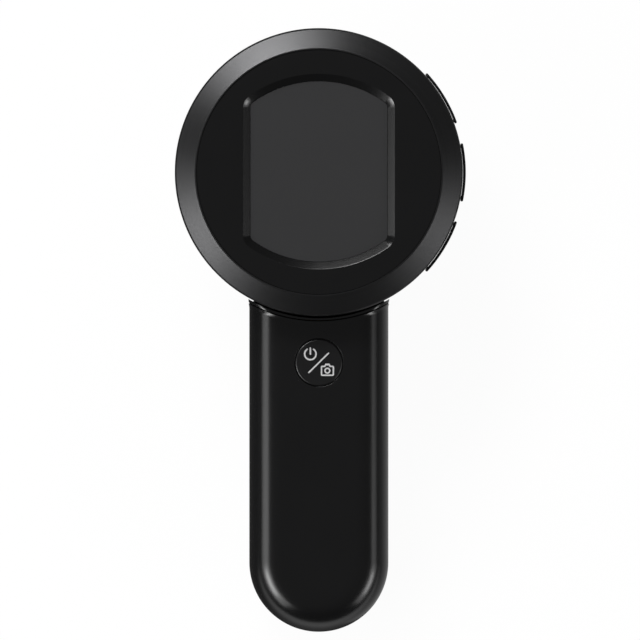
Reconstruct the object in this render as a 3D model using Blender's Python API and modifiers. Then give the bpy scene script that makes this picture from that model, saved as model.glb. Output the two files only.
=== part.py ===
"""Handheld digital microscope, lying on its back with the screen up.

The optical axis is vertical and runs through the head empty. The handle points along -Y, the rim
buttons lie at +X, and the clear skirt and the handle's back stand on Z = 0. All sizes are metres.
"""
import math

import bmesh
import bpy
from mathutils import Matrix, Vector

# Fits used all over the part
GAP = 0.0003
OVERRUN = 0.0010
ROOT_DEPTH = 0.0003
WELD_DISTANCE = 0.000001

# Angles that tell flat faces, sharp edges and directions apart
FLAT_ANGLE = math.radians(0.5)
SHARP_ANGLE = math.radians(30)
CORNER_ANGLE = math.radians(60)
SAME_DIRECTION_SHARE = 0.99

# Facets round a full turn
HEAD_STEPS = 48
BARREL_STEPS = 24
LENS_STEPS = 18
SMALL_STEPS = 12
FILLET_STEPS = 4
ARCH_STEPS = 10
CORNER_STEPS = 3

# Head, from the outside in
HEAD_RADIUS = 0.0310
BEZEL_OVERHANG = 0.0006
CUP_WALL = 0.0018
CUP_CORNER_RADIUS = 0.0060
CUP_RADIUS = HEAD_RADIUS - BEZEL_OVERHANG
CUP_INNER_RADIUS = CUP_RADIUS - CUP_WALL

# Handle, in plan and in section
HANDLE_REACH = 0.0991
HANDLE_WIDTH = 0.0300
HANDLE_THICKNESS = 0.0240
HANDLE_FILLET = 0.0070
HANDLE_WALL = 0.0020
PARTING_SHARE = 0.5
PARTING_HEIGHT = HANDLE_THICKNESS * PARTING_SHARE
HANDLE_INNER_HALF = HANDLE_WIDTH / 2 - HANDLE_WALL
HANDLE_INNER_TOP = HANDLE_THICKNESS - HANDLE_WALL
HEAD_Y = (HANDLE_REACH - HEAD_RADIUS) / 2

# Joint between handle and head
HEAD_SHADOW_GAP = 0.00045
LIP_THICKNESS = 0.0005
LIP_INSET = 0.0003
COVER_SEAM = 0.00015
SCOOP_REACH = 0.0056
SCOOP_HEIGHT = 0.0095
SCOOP_STEPS = 6
NECK_RISE = 0.0027
NECK_SIDE_ROOM = 0.0006
RIBBON_PASSAGE_WIDTH = 0.0110
RIBBON_PASSAGE_HEIGHT_SHARE = 0.6
LIP_RADIUS = HEAD_RADIUS + HEAD_SHADOW_GAP
COVER_END_RADIUS = LIP_RADIUS + LIP_THICKNESS + COVER_SEAM
END_WALL_RADIUS = LIP_RADIUS + HANDLE_WALL

# Clear skirt and focus ring at the back of the head
SKIRT_REACH = 0.0037
SKIRT_FLANGE = 0.0010
SKIRT_FOOT_WIDTH = 0.0018
SKIRT_TAPER = 0.0014
SKIRT_FLANGE_LAP = 0.0018
BARREL_SET_BACK = 0.0089
BARREL_WALL = 0.0020
RING_THICKNESS = 0.0037
RING_HEIGHT = 0.0080
RING_GRIPS = 36
RING_GRIP_DEPTH = 0.0007
GRIP_SHARES = (0.00, 0.16, 0.50, 0.66)
BARREL_OUTER_RADIUS = CUP_RADIUS - BARREL_SET_BACK
BARREL_INNER_RADIUS = BARREL_OUTER_RADIUS - BARREL_WALL
RING_INNER_RADIUS = BARREL_OUTER_RADIUS + GAP
RING_OUTER_RADIUS = RING_INNER_RADIUS + RING_THICKNESS
RING_LOW = SKIRT_REACH + GAP
RING_HIGH = RING_LOW + RING_HEIGHT
FLOOR_LOW = RING_HIGH + GAP
FLOOR_HIGH = FLOOR_LOW + CUP_WALL

# Levels of the stack in the head, from the floor of the cup to the bezel
LENS_BAY_HEIGHT = 0.0078
BOARD_THICKNESS = 0.0012
LCD_FRAME_HEIGHT = 0.0035
LCD_THICKNESS = 0.0022
GASKET_THICKNESS = 0.0006
WINDOW_THICKNESS = 0.0010
WINDOW_LAND = 0.0003
WINDOW_DEPTH = 0.0011
BEZEL_STAND = 0.0002
LEDGE_THICKNESS = 0.0007
SHOULDER_RISE = 0.0004
BOARD_LOW = FLOOR_HIGH + LENS_BAY_HEIGHT
BOARD_HIGH = BOARD_LOW + BOARD_THICKNESS
LCD_LOW = BOARD_HIGH + LCD_FRAME_HEIGHT
LCD_HIGH = LCD_LOW + LCD_THICKNESS
WINDOW_LOW = LCD_HIGH + GASKET_THICKNESS
WINDOW_HIGH = WINDOW_LOW + WINDOW_THICKNESS
PANEL_HIGH = WINDOW_HIGH + WINDOW_LAND + WINDOW_DEPTH
BEZEL_HIGH = PANEL_HIGH + BEZEL_STAND
LEDGE_LOW = LCD_HIGH + GAP
PANEL_LOW = LEDGE_LOW + LEDGE_THICKNESS
BEZEL_LOW = LCD_LOW + SHOULDER_RISE

# Bezel ring
CHAMFER_WIDTH = 0.0043
CHAMFER_TILT = math.radians(30)
BEZEL_RIM = 0.0003
BEZEL_EDGE_RADIUS = 0.0003
TONGUE_HEIGHT = 0.0010
TONGUE_THICKNESS = 0.0010
LEDGE_WIDTH = 0.0010
PANEL_RADIUS = HEAD_RADIUS - CHAMFER_WIDTH - BEZEL_RIM - GAP

# Window in the face panel
WINDOW_WIDTH = 0.03268
WINDOW_END_MARGIN = 0.0052
WINDOW_ARCH_RADIUS = 0.0259
WINDOW_CORNER_RADIUS = 0.0030
WINDOW_LEAST_CORNER = 0.0004
WINDOW_BEVEL = 0.0016
WINDOW_PANE_INSET = 0.0004
GASKET_INSET = 0.0001
GASKET_WIDTH = 0.0010
WINDOW_HALF_LENGTH = PANEL_RADIUS - WINDOW_END_MARGIN

# Screen module and its frame
LCD_WIDTH = 0.0336
LCD_ROOM = 0.0007
LCD_FRAME_PLATE = 0.0012
LCD_FRAME_OPENING = 0.0120
LCD_FRAME_WALL = 0.0035
LCD_HALF_LENGTH = math.sqrt((CUP_INNER_RADIUS - LCD_ROOM) ** 2 - (LCD_WIDTH / 2) ** 2)
LCD_FRAME_RADIUS = CUP_INNER_RADIUS - GAP
BOARD_RADIUS = LCD_FRAME_RADIUS - LCD_FRAME_WALL + LCD_FRAME_PLATE

# Main board and what it carries
BOARD_SCREW_ANGLES = (90, 205, 305)
BOARD_SCREW_INSET = 0.0045
BOARD_SCREW_RADIUS = 0.0009
BOARD_SCREW_LENGTH = 0.0045
BOARD_SCREW_HEAD_RADIUS = 0.0018
BOARD_SCREW_HEAD_HEIGHT = 0.0013
POST_WALL = 0.0013
CHIP_WIDTH = 0.0100
CHIP_HEIGHT = 0.0010
CHIP_SCREW_ROOM = 0.0095
SENSOR_WIDTH = 0.0066
SENSOR_HEIGHT = 0.0010
BOARD_POST_RADIUS = BOARD_SCREW_RADIUS + GAP + POST_WALL
BOARD_SCREW_CIRCLE = BOARD_RADIUS - BOARD_SCREW_INSET
CHIP_Y = BOARD_SCREW_CIRCLE - CHIP_SCREW_ROOM

# Lamp board in the skirt
LED_BOARD_RISE = 0.0025
LED_BOARD_THICKNESS = 0.0010
LED_BOARD_HOLE_ROOM = 0.0014
LED_COUNT = 8
LED_INSET = 0.0059
LED_LENGTH = 0.0035
LED_WIDTH = 0.0028
LED_HEIGHT = 0.0008
LED_BOARD_LEVEL = SKIRT_REACH + LED_BOARD_RISE
LED_BOARD_RADIUS = BARREL_INNER_RADIUS - GAP - GAP
LED_CIRCLE = LED_BOARD_RADIUS - LED_INSET

# Optics
LENS_TUBE_WALL = 0.0014
LENS_TUBE_FLANGE = 0.0018
LENS_TUBE_FLANGE_HEIGHT = 0.0010
CARRIER_RADIUS = 0.0055
CARRIER_WALL = 0.0015
CARRIER_RISE = 0.0006
CARRIER_LENGTH = 0.0104
CARRIER_PLATE_ROOM = 0.0015
CARRIER_PLATE_THICKNESS = 0.0016
FILTER_THICKNESS = 0.0006
FILTER_LEDGE_HEIGHT = 0.0006
FILTER_LEDGE_WIDTH = 0.0016
FILTER_ROOM = 0.0011
LENS_LEDGE_WIDTH = 0.0014
LENS_LEDGE_LOW_SHARE = 0.37
LENS_LEDGE_HIGH_SHARE = 0.73
LENS_EDGE = 0.0012
LENS_CROWN = 0.0006
RETAINER_HEIGHT = 0.0016
RETAINER_WIDTH = 0.0011
LENS_TUBE_INNER = CARRIER_RADIUS + GAP
LENS_TUBE_OUTER = LENS_TUBE_INNER + LENS_TUBE_WALL
CARRIER_LOW = LED_BOARD_LEVEL + CARRIER_RISE
CARRIER_HIGH = CARRIER_LOW + CARRIER_LENGTH
CARRIER_PLATE_LOW = LED_BOARD_LEVEL + LED_BOARD_THICKNESS + CARRIER_PLATE_ROOM
CARRIER_BORE = CARRIER_RADIUS - CARRIER_WALL
LENS_RADIUS = CARRIER_BORE - GAP

# Focus drive: two cam pins on the carrier run in helical grooves inside the ring
FOCUS_TURN = math.radians(60)
FOCUS_TRAVEL = 0.00075
PIN_RADIUS = 0.0008
PIN_REACH = 0.0011
PIN_ROOM = 0.0002
GROOVE_MARGIN_TURN = math.radians(3)
GROOVE_ENTRY_TURN = math.radians(8)
GROOVE_STEPS = 14
PIN_LEVEL = CARRIER_PLATE_LOW + CARRIER_PLATE_THICKNESS / 2
PIN_END = RING_INNER_RADIUS + PIN_REACH
GROOVE_BOTTOM = PIN_END + GAP
FOCUS_LEAD = FOCUS_TRAVEL / FOCUS_TURN

# Rim buttons
SIDE_BUTTON_NAMES = ("zoom_in_button", "menu_button", "zoom_out_button")
SIDE_BUTTON_ANGLES = (31.2, 0.0, -31.2)
SIDE_BUTTON_HALF_TURN = math.radians(11.5)
SIDE_BUTTON_PROUD = 0.00068
SIDE_BUTTON_HEIGHT = 0.0044
SIDE_BUTTON_DROP = 0.0016
SIDE_BUTTON_EDGE = 0.0004
SIDE_FLANGE_LAP = 0.0004
SIDE_FLANGE_THICKNESS = 0.0009
SIDE_BUTTON_TRAVEL = 0.0004
STOP_ROOM = 0.00005
SWITCH_DEPTH = 0.0030
SWITCH_WIDTH = 0.0045
SWITCH_HEIGHT = 0.0024
SWITCH_PLUNGER_RADIUS = 0.0008
SWITCH_PLUNGER_LENGTH = 0.0005
SIDE_BUTTON_STEPS = 6
SIDE_BUTTON_RADIUS = HEAD_RADIUS + SIDE_BUTTON_PROUD
SIDE_BUTTON_LEVEL = BOARD_LOW - SIDE_BUTTON_DROP
SIDE_FLANGE_OUTER = CUP_INNER_RADIUS - GAP
SIDE_FLANGE_INNER = SIDE_FLANGE_OUTER - SIDE_FLANGE_THICKNESS
SIDE_SLOT_TURN = SIDE_BUTTON_HALF_TURN + GAP / CUP_RADIUS

# Power button in the handle
POWER_BUTTON_HEAD_ROOM = 0.00255
POWER_BUTTON_RADIUS = 0.0050
POWER_BUTTON_ROOM = 0.00025
POWER_BUTTON_EDGE = 0.0003
POWER_FLANGE_WIDTH = 0.0010
POWER_FLANGE_THICKNESS = 0.0008
POWER_STEM_RADIUS = 0.0018
POWER_STEM_LENGTH = 0.0006
POWER_BUTTON_TRAVEL = 0.0004
POWER_SWITCH_WIDTH = 0.0060
POWER_PLUNGER_LENGTH = 0.0012
POWER_BUTTON_REACH = END_WALL_RADIUS + POWER_BUTTON_HEAD_ROOM + POWER_BUTTON_RADIUS
POWER_FLANGE_HIGH = HANDLE_INNER_TOP - GAP
POWER_FLANGE_LOW = POWER_FLANGE_HIGH - POWER_FLANGE_THICKNESS
POWER_STEM_LOW = POWER_FLANGE_LOW - POWER_STEM_LENGTH

# Screws of the handle
HANDLE_SCREW_SHORT_OF_BUTTON = 0.0010
HANDLE_SCREW_SHORT_OF_END = 0.0111
HANDLE_SCREW_RADIUS = 0.0012
HANDLE_SCREW_LENGTH = 0.0100
HANDLE_SCREW_HEAD_RADIUS = 0.0023
HANDLE_SCREW_HEAD_HEIGHT = 0.0016
HANDLE_SCREW_SINK = 0.0018
HANDLE_SEAT_WALL = 0.0016
HANDLE_POST_WALL = 0.0012
HANDLE_POST_SIDE_ROOM = 0.0006
HANDLE_END_SCREW_IN = 0.0016
CROSS_WIDTH = 0.0006
CROSS_LENGTH_SHARE = 1.3
CROSS_DEPTH_SHARE = 0.6
HANDLE_SCREW_REACHES = (POWER_BUTTON_REACH - HANDLE_SCREW_SHORT_OF_BUTTON,
                        HANDLE_REACH - HANDLE_SCREW_SHORT_OF_END)
HANDLE_POST_RADIUS = HANDLE_SCREW_RADIUS + GAP + HANDLE_POST_WALL
HANDLE_POST_X = HANDLE_INNER_HALF - HANDLE_POST_RADIUS - HANDLE_POST_SIDE_ROOM
HANDLE_SEAT = HANDLE_SCREW_SINK + HANDLE_SCREW_HEAD_HEIGHT
HANDLE_POST_LEVEL = HANDLE_SEAT + HANDLE_SEAT_WALL
SEAT_POST_RADIUS = HANDLE_SCREW_HEAD_RADIUS + GAP + HANDLE_POST_WALL

# Control board and the sockets on it
USB_WIDTH = 0.00894
USB_HEIGHT = 0.00326
USB_DEPTH = 0.0073
USB_WALL = 0.0003
USB_CORNER = 0.0012
USB_TONGUE_WIDTH = 0.0067
USB_TONGUE_THICKNESS = 0.0007
USB_RECESS = 0.0007
USB_PORT_ROOM = 0.0004
CARD_WIDTH = 0.0110
CARD_LENGTH = 0.0150
CARD_THICKNESS = 0.0008
CARD_ROOM = 0.0002
CARD_RECESS = 0.0002
CARD_PLACE_SHARE = 0.3245
CARD_SOCKET_WALL = 0.0004
CARD_SOCKET_SIDE = 0.0012
CARD_SOCKET_BACK = 0.0010
CARD_OUT = 0.0130
CONTROL_BOARD_SIDE_ROOM = 0.0006
CONTROL_BOARD_NOSE_ROOM = 0.0020
CONTROL_BOARD_TAIL_ROOM = 0.0004
CONTROL_BOARD_HEAD_ROOM = 0.0012
CONTROL_SCREW_HEAD_ROOM = 0.0041
CONTROL_SCREW_END_ROOM = 0.0046
CONTROL_SCREW_SIDE_ROOM = 0.0032
CONTROL_BOARD_NOSE_HALF = HANDLE_POST_X - HANDLE_POST_RADIUS - CONTROL_BOARD_NOSE_ROOM
CONTROL_BOARD_TAIL_HALF = HANDLE_POST_X - HANDLE_END_SCREW_IN - HANDLE_POST_RADIUS - CONTROL_BOARD_TAIL_ROOM
USB_LOW = PARTING_HEIGHT - USB_HEIGHT / 2
CONTROL_BOARD_LOW = PARTING_HEIGHT + USB_HEIGHT / 2
CONTROL_BOARD_HIGH = CONTROL_BOARD_LOW + BOARD_THICKNESS
USB_MOUTH = HANDLE_REACH - USB_RECESS
POST_ZONE = SEAT_POST_RADIUS + CONTROL_BOARD_SIDE_ROOM
BAY_START = HANDLE_SCREW_REACHES[0] + POST_ZONE
BAY_END = HANDLE_SCREW_REACHES[1] - POST_ZONE
CONTROL_SCREW_REACHES = (BAY_START + CONTROL_SCREW_HEAD_ROOM, BAY_END - CONTROL_SCREW_END_ROOM)
CONTROL_SCREW_OFFSET = HANDLE_INNER_HALF - CONTROL_SCREW_SIDE_ROOM
CARD_SOCKET_HALF = CARD_WIDTH / 2 + CARD_ROOM + CARD_SOCKET_SIDE
CARD_NEAREST = CONTROL_SCREW_REACHES[0] + BOARD_POST_RADIUS + CARD_SOCKET_HALF
CARD_FURTHEST = BAY_END - CARD_SOCKET_HALF
CARD_REACH = CARD_NEAREST + (CARD_FURTHEST - CARD_NEAREST) * CARD_PLACE_SHARE

# Battery
BATTERY_SIDE_ROOM = 0.0030
BATTERY_HEAD_ROOM = 0.0024
BATTERY_CORNER = 0.0015
PAD_THICKNESS = 0.0010
PAD_INSET = 0.0020
PLUG_WIDTH = 0.0044
PLUG_DEPTH = 0.0030
PLUG_HEIGHT = 0.0022
LEAD_RADIUS = 0.0005
LEAD_OFFSET = 0.0011
LEAD_BEND_SHARE = 0.8
LEAD_STEPS = 5
BATTERY_HALF_WIDTH = HANDLE_INNER_HALF - BATTERY_SIDE_ROOM
BATTERY_LOW = HANDLE_WALL + PAD_THICKNESS
BATTERY_HIGH = CONTROL_BOARD_LOW - BATTERY_HEAD_ROOM
PLUG_LOW = CONTROL_BOARD_LOW - PLUG_HEIGHT

# Ribbon between the two boards
RIBBON_WIDTH = 0.0080
RIBBON_THICKNESS = 0.0003
RIBBON_SOCKET_DEPTH = 0.0030
RIBBON_SOCKET_HEIGHT = 0.0016
RIBBON_HEAD_INSET = 0.0060
RIBBON_STEPS = 12
RIBBON_HEAD_REACH = BOARD_RADIUS - RIBBON_HEAD_INSET


def arc(centre, radius, start, end, steps):
    """Points of an arc in plan, both ends included, angles in degrees."""
    points = []
    for step in range(steps + 1):
        angle = math.radians(start + (end - start) * step / steps)
        points.append((centre[0] + radius * math.cos(angle), centre[1] + radius * math.sin(angle)))
    return points


def circle(radius, steps=HEAD_STEPS, centre=(0, 0)):
    """A closed circle in plan."""
    return arc(centre, radius, 0, 360, steps)[:-1]


def rectangle(left, right, front, back):
    """A closed rectangle in plan."""
    return [(left, front), (right, front), (right, back), (left, back)]


def band(inner, outer, half_turn, steps):
    """A closed stretch of a flat ring, astride the X axis."""
    turn = math.degrees(half_turn)
    return arc((0, 0), outer, -turn, turn, steps) + arc((0, 0), inner, turn, -turn, steps)


def handle_loop(inset):
    """Plan of the handle, drawn in by inset, running on under the head at its top end."""
    half = HANDLE_WIDTH / 2 - inset
    end_y = HANDLE_WIDTH / 2 - HANDLE_REACH
    top_y = -CUP_RADIUS / 2
    return arc((0, end_y), half, 180, 360, BARREL_STEPS // 2) + [(half, top_y), (-half, top_y)]


def window_loop(inset):
    """The window: straight sides, arched ends and round corners, drawn in by inset."""
    half = WINDOW_WIDTH / 2 - inset
    arch = WINDOW_ARCH_RADIUS - inset
    corner = max(WINDOW_CORNER_RADIUS - inset, WINDOW_LEAST_CORNER)
    shift = WINDOW_ARCH_RADIUS - WINDOW_HALF_LENGTH
    corner_x = half - corner
    rise = math.sqrt((arch - corner) ** 2 - corner_x ** 2)
    corner_y = rise - shift
    turn = math.degrees(math.atan2(rise, corner_x))
    upper = arc((corner_x, corner_y), corner, 0, turn, CORNER_STEPS)
    upper += arc((0, -shift), arch, turn, 180 - turn, ARCH_STEPS)[1:-1]
    upper += arc((-corner_x, corner_y), corner, 180 - turn, 180, CORNER_STEPS)
    return upper + [(-x, -y) for x, y in upper]


def edited(mesh, edit):
    """Runs a bmesh edit on a mesh and returns the mesh."""
    work = bmesh.new()
    work.from_mesh(mesh)
    edit(work)
    work.to_mesh(mesh)
    work.free()
    return mesh


def evaluated_mesh(holder):
    """The mesh of an object as its modifiers leave it; the object itself is removed."""
    bpy.context.scene.collection.objects.link(holder)
    bpy.context.view_layer.update()
    graph = bpy.context.evaluated_depsgraph_get()
    mesh = bpy.data.meshes.new_from_object(holder.evaluated_get(graph))
    mesh.transform(holder.matrix_world)
    bpy.data.objects.remove(holder)
    return mesh


def plate(loops, low, high):
    """A flat outline with its holes, from one level to another."""
    curve = bpy.data.curves.new("outline", 'CURVE')
    curve.dimensions = '2D'
    curve.fill_mode = 'BOTH'
    curve.extrude = (high - low) / 2
    for loop in loops:
        spline = curve.splines.new('POLY')
        spline.points.add(len(loop) - 1)
        for point, (x, y) in zip(spline.points, loop):
            point.co = (x, y, 0, 1)
        spline.use_cyclic_u = True
    holder = bpy.data.objects.new("outline", curve)
    holder.location.z = (high + low) / 2

    def close(work):
        bmesh.ops.remove_doubles(work, verts=work.verts, dist=WELD_DISTANCE)
        bmesh.ops.dissolve_limit(work, angle_limit=FLAT_ANGLE, verts=work.verts, edges=work.edges)
        bmesh.ops.recalc_face_normals(work, faces=work.faces)

    return edited(evaluated_mesh(holder), close)


def turned(profile, steps=HEAD_STEPS, closed=True):
    """A profile of (radius, height) points turned about Z; open profiles start and end on the axis."""
    mesh = bpy.data.meshes.new("profile")
    count = len(profile)
    edges = [(index, (index + 1) % count) for index in range(count if closed else count - 1)]
    mesh.from_pydata([(radius, 0, height) for radius, height in profile], edges, [])
    holder = bpy.data.objects.new("profile", mesh)
    screw = holder.modifiers.new("turn", 'SCREW')
    screw.steps = steps
    screw.render_steps = steps
    screw.use_merge_vertices = True
    screw.merge_threshold = WELD_DISTANCE
    return evaluated_mesh(holder)


def rod(radius, low, high, x=0.0, y=0.0, steps=SMALL_STEPS):
    """An upright cylinder."""
    def build(work):
        place = Matrix.Translation((x, y, (low + high) / 2))
        bmesh.ops.create_cone(work, cap_ends=True, segments=steps, radius1=radius, radius2=radius,
                              depth=high - low, matrix=place)
    return edited(bpy.data.meshes.new("rod"), build)


def block(left, right, front, back, low, high):
    """A box between two values on each axis."""
    def build(work):
        centre = Vector((left + right, front + back, low + high)) / 2
        size = Matrix.Diagonal((right - left, back - front, high - low, 1))
        bmesh.ops.create_cube(work, size=1, matrix=Matrix.Translation(centre) @ size)
    return edited(bpy.data.meshes.new("block"), build)


def moved(mesh, matrix):
    """A copy of a mesh, moved."""
    copy = mesh.copy()
    copy.transform(matrix)
    return copy


def turn(angle, axis='Z'):
    """A turn about an axis, in degrees."""
    return Matrix.Rotation(math.radians(angle), 4, axis)


def together(meshes):
    """Several shapes that don't touch, in one mesh."""
    def build(work):
        for mesh in meshes:
            work.from_mesh(mesh)
    return edited(bpy.data.meshes.new("group"), build)


def rounded_rim(mesh, level, radius, steps=FILLET_STEPS):
    """Rounds the edge of the flat end at one level."""
    def build(work):
        rim = [edge for edge in work.edges
               if all(abs(vert.co.z - level) < WELD_DISTANCE for vert in edge.verts)]
        bmesh.ops.bevel(work, geom=rim, offset=radius, segments=steps, profile=0.5, affect='EDGES')
    return edited(mesh, build)


def rounded_edges(mesh, direction, radius, steps=CORNER_STEPS):
    """Rounds the straight edges that run along one direction."""
    def build(work):
        along = [edge for edge in work.edges
                 if abs((edge.verts[1].co - edge.verts[0].co).normalized().dot(direction))
                 > SAME_DIRECTION_SHARE]
        bmesh.ops.bevel(work, geom=along, offset=radius, segments=steps, profile=0.5, affect='EDGES')
    return edited(mesh, build)


def handle_solid(inset, low, high, low_fillet=0.0, high_fillet=0.0):
    """The handle's outer form between two levels, with its rims rounded where a fillet is given."""
    mesh = plate([handle_loop(inset)], low, high)
    if low_fillet:
        rounded_rim(mesh, low, low_fillet)
    if high_fillet:
        rounded_rim(mesh, high, high_fillet)
    return mesh


def head_clearance(radius):
    """The room kept for the head at the handle's top end: a cylinder that flares at the back into a
    scoop for the fingers on the focus ring."""
    profile = [(0, HANDLE_THICKNESS + OVERRUN), (radius, HANDLE_THICKNESS + OVERRUN)]
    for step in range(SCOOP_STEPS + 1):
        angle = math.pi / 2 * step / SCOOP_STEPS
        reach = radius + SCOOP_REACH * (1 - math.cos(angle))
        profile.append((reach, SCOOP_HEIGHT * (1 - math.sin(angle))))
    profile += [(radius + SCOOP_REACH, -OVERRUN), (0, -OVERRUN)]
    return turned(profile, closed=False)


def material(name, colour, roughness, metallic=0.0, alpha=1.0):
    """A Principled material in one colour."""
    made = bpy.data.materials.new(name)
    made.use_nodes = True
    made.diffuse_color = (*colour, alpha)
    shader = made.node_tree.nodes["Principled BSDF"]
    shader.inputs["Base Color"].default_value = (*colour, 1)
    shader.inputs["Roughness"].default_value = roughness
    shader.inputs["Metallic"].default_value = metallic
    shader.inputs["Alpha"].default_value = alpha
    return made


def part(name, mesh, look, parent, location=(0, 0, 0), rotation=0.0):
    """A named piece of the microscope with its own material."""
    colour, roughness, metallic, alpha = look
    mesh.name = name
    mesh.shade_smooth()
    mesh.set_sharp_from_angle(angle=SHARP_ANGLE)
    piece = bpy.data.objects.new(name, mesh)
    piece.parent = parent
    piece.location = location
    piece.rotation_euler.z = math.radians(rotation)
    mesh.materials.clear()
    mesh.materials.append(material(name, colour, roughness, metallic, alpha))
    parts.objects.link(piece)
    return piece


def boolean(piece, mesh, operation, label):
    """Joins a shape to a piece, cuts it away, or keeps only what the two share."""
    helper = bpy.data.objects.new(piece.name + "_" + label, mesh)
    helper.parent = piece.parent
    helper.location = piece.location
    helper.rotation_euler = piece.rotation_euler
    helper.hide_render = True
    helper.display_type = 'WIRE'
    cutters.objects.link(helper)
    modifier = piece.modifiers.new(label, 'BOOLEAN')
    modifier.operation = operation
    modifier.solver = 'EXACT'
    modifier.object = helper
    return helper


def join(piece, mesh, label):
    """Joins a shape to a piece."""
    return boolean(piece, mesh, 'UNION', label)


def cut(piece, mesh, label):
    """Cuts a shape out of a piece."""
    return boolean(piece, mesh, 'DIFFERENCE', label)


def combined(base, steps):
    """One mesh from a start shape and a list of (operation, shape) pairs."""
    holder = bpy.data.objects.new("base", base)
    helpers = []
    for operation, mesh in steps:
        helper = bpy.data.objects.new("operand", mesh)
        bpy.context.scene.collection.objects.link(helper)
        helpers.append(helper)
        modifier = holder.modifiers.new("step", 'BOOLEAN')
        modifier.operation = operation
        modifier.solver = 'EXACT'
        modifier.object = helper
    mesh = evaluated_mesh(holder)
    for helper in helpers:
        bpy.data.objects.remove(helper)
    return mesh


def anchor(name, location):
    """An empty that a group of pieces hangs on."""
    empty = bpy.data.objects.new(name, None)
    empty.location = location
    empty.empty_display_size = CUP_RADIUS
    parts.objects.link(empty)
    return empty


BLACK_PLASTIC = ((0.011, 0.011, 0.011), 0.42, 0.0, 1.0)
BLACK_SATIN = ((0.010, 0.010, 0.011), 0.34, 0.0, 1.0)
BLACK_ANODISED = ((0.020, 0.020, 0.021), 0.36, 0.8, 1.0)
SCREEN_GREY = ((0.037, 0.037, 0.037), 0.12, 0.0, 1.0)
CLEAR = ((0.85, 0.88, 0.90), 0.05, 0.0, 0.35)
LENS_GLASS = ((0.75, 0.85, 0.90), 0.03, 0.0, 0.35)
GREEN_BOARD = ((0.010, 0.110, 0.035), 0.45, 0.0, 1.0)
WHITE_BOARD = ((0.75, 0.75, 0.72), 0.50, 0.0, 1.0)
STEEL = ((0.55, 0.55, 0.56), 0.30, 1.0, 1.0)
CHIP_BLACK = ((0.020, 0.020, 0.022), 0.55, 0.0, 1.0)
FOAM_BLACK = ((0.012, 0.012, 0.012), 0.90, 0.0, 1.0)
LAMP_YELLOW = ((0.85, 0.72, 0.20), 0.40, 0.0, 1.0)
CELL_SILVER = ((0.45, 0.46, 0.48), 0.35, 0.6, 1.0)
SOCKET_WHITE = ((0.80, 0.78, 0.70), 0.50, 0.0, 1.0)
RIBBON_AMBER = ((0.35, 0.14, 0.03), 0.40, 0.0, 1.0)
RED_WIRE = ((0.45, 0.01, 0.01), 0.45, 0.0, 1.0)
BLACK_WIRE = ((0.010, 0.010, 0.010), 0.45, 0.0, 1.0)


def screw_mesh(radius, length, head_radius, head_height):
    """A cross-slotted screw, head down at Z = 0 and shank up."""
    profile = [(0, head_height + length), (radius, head_height + length), (radius, head_height),
               (head_radius, head_height), (head_radius, 0), (0, 0)]
    screw = turned(profile, steps=SMALL_STEPS, closed=False)
    half_length = head_radius * CROSS_LENGTH_SHARE / 2
    half_width = CROSS_WIDTH / 2
    depth = head_height * CROSS_DEPTH_SHARE
    long_slot = block(-half_length, half_length, -half_width, half_width, -OVERRUN, depth)
    cross_slot = block(-half_width, half_width, -half_length, half_length, -OVERRUN, depth)
    return combined(screw, [('DIFFERENCE', long_slot), ('DIFFERENCE', cross_slot)])


def cup_mesh():
    """The head cup with its round corner, the floor and the focus barrel, in one turned piece."""
    tongue_radius = CUP_INNER_RADIUS + TONGUE_THICKNESS
    corner_centre = CUP_RADIUS - CUP_CORNER_RADIUS
    corner_level = FLOOR_LOW + CUP_CORNER_RADIUS
    inner_corner = CUP_CORNER_RADIUS - CUP_WALL
    floor_hole = LENS_TUBE_OUTER + GAP
    profile = [(tongue_radius, BEZEL_LOW + TONGUE_HEIGHT), (tongue_radius, BEZEL_LOW),
               (CUP_RADIUS, BEZEL_LOW)]
    profile += arc((corner_centre, corner_level), CUP_CORNER_RADIUS, 0, -90, FILLET_STEPS)
    profile += [(BARREL_OUTER_RADIUS, FLOOR_LOW), (BARREL_OUTER_RADIUS, RING_LOW)]
    profile += [(BARREL_INNER_RADIUS, RING_LOW), (BARREL_INNER_RADIUS, FLOOR_LOW)]
    profile += [(floor_hole, FLOOR_LOW), (floor_hole, FLOOR_HIGH)]
    profile += arc((corner_centre, corner_level), inner_corner, -90, 0, FILLET_STEPS)
    profile += [(CUP_INNER_RADIUS, BEZEL_LOW + TONGUE_HEIGHT)]
    return turned(profile)


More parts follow.
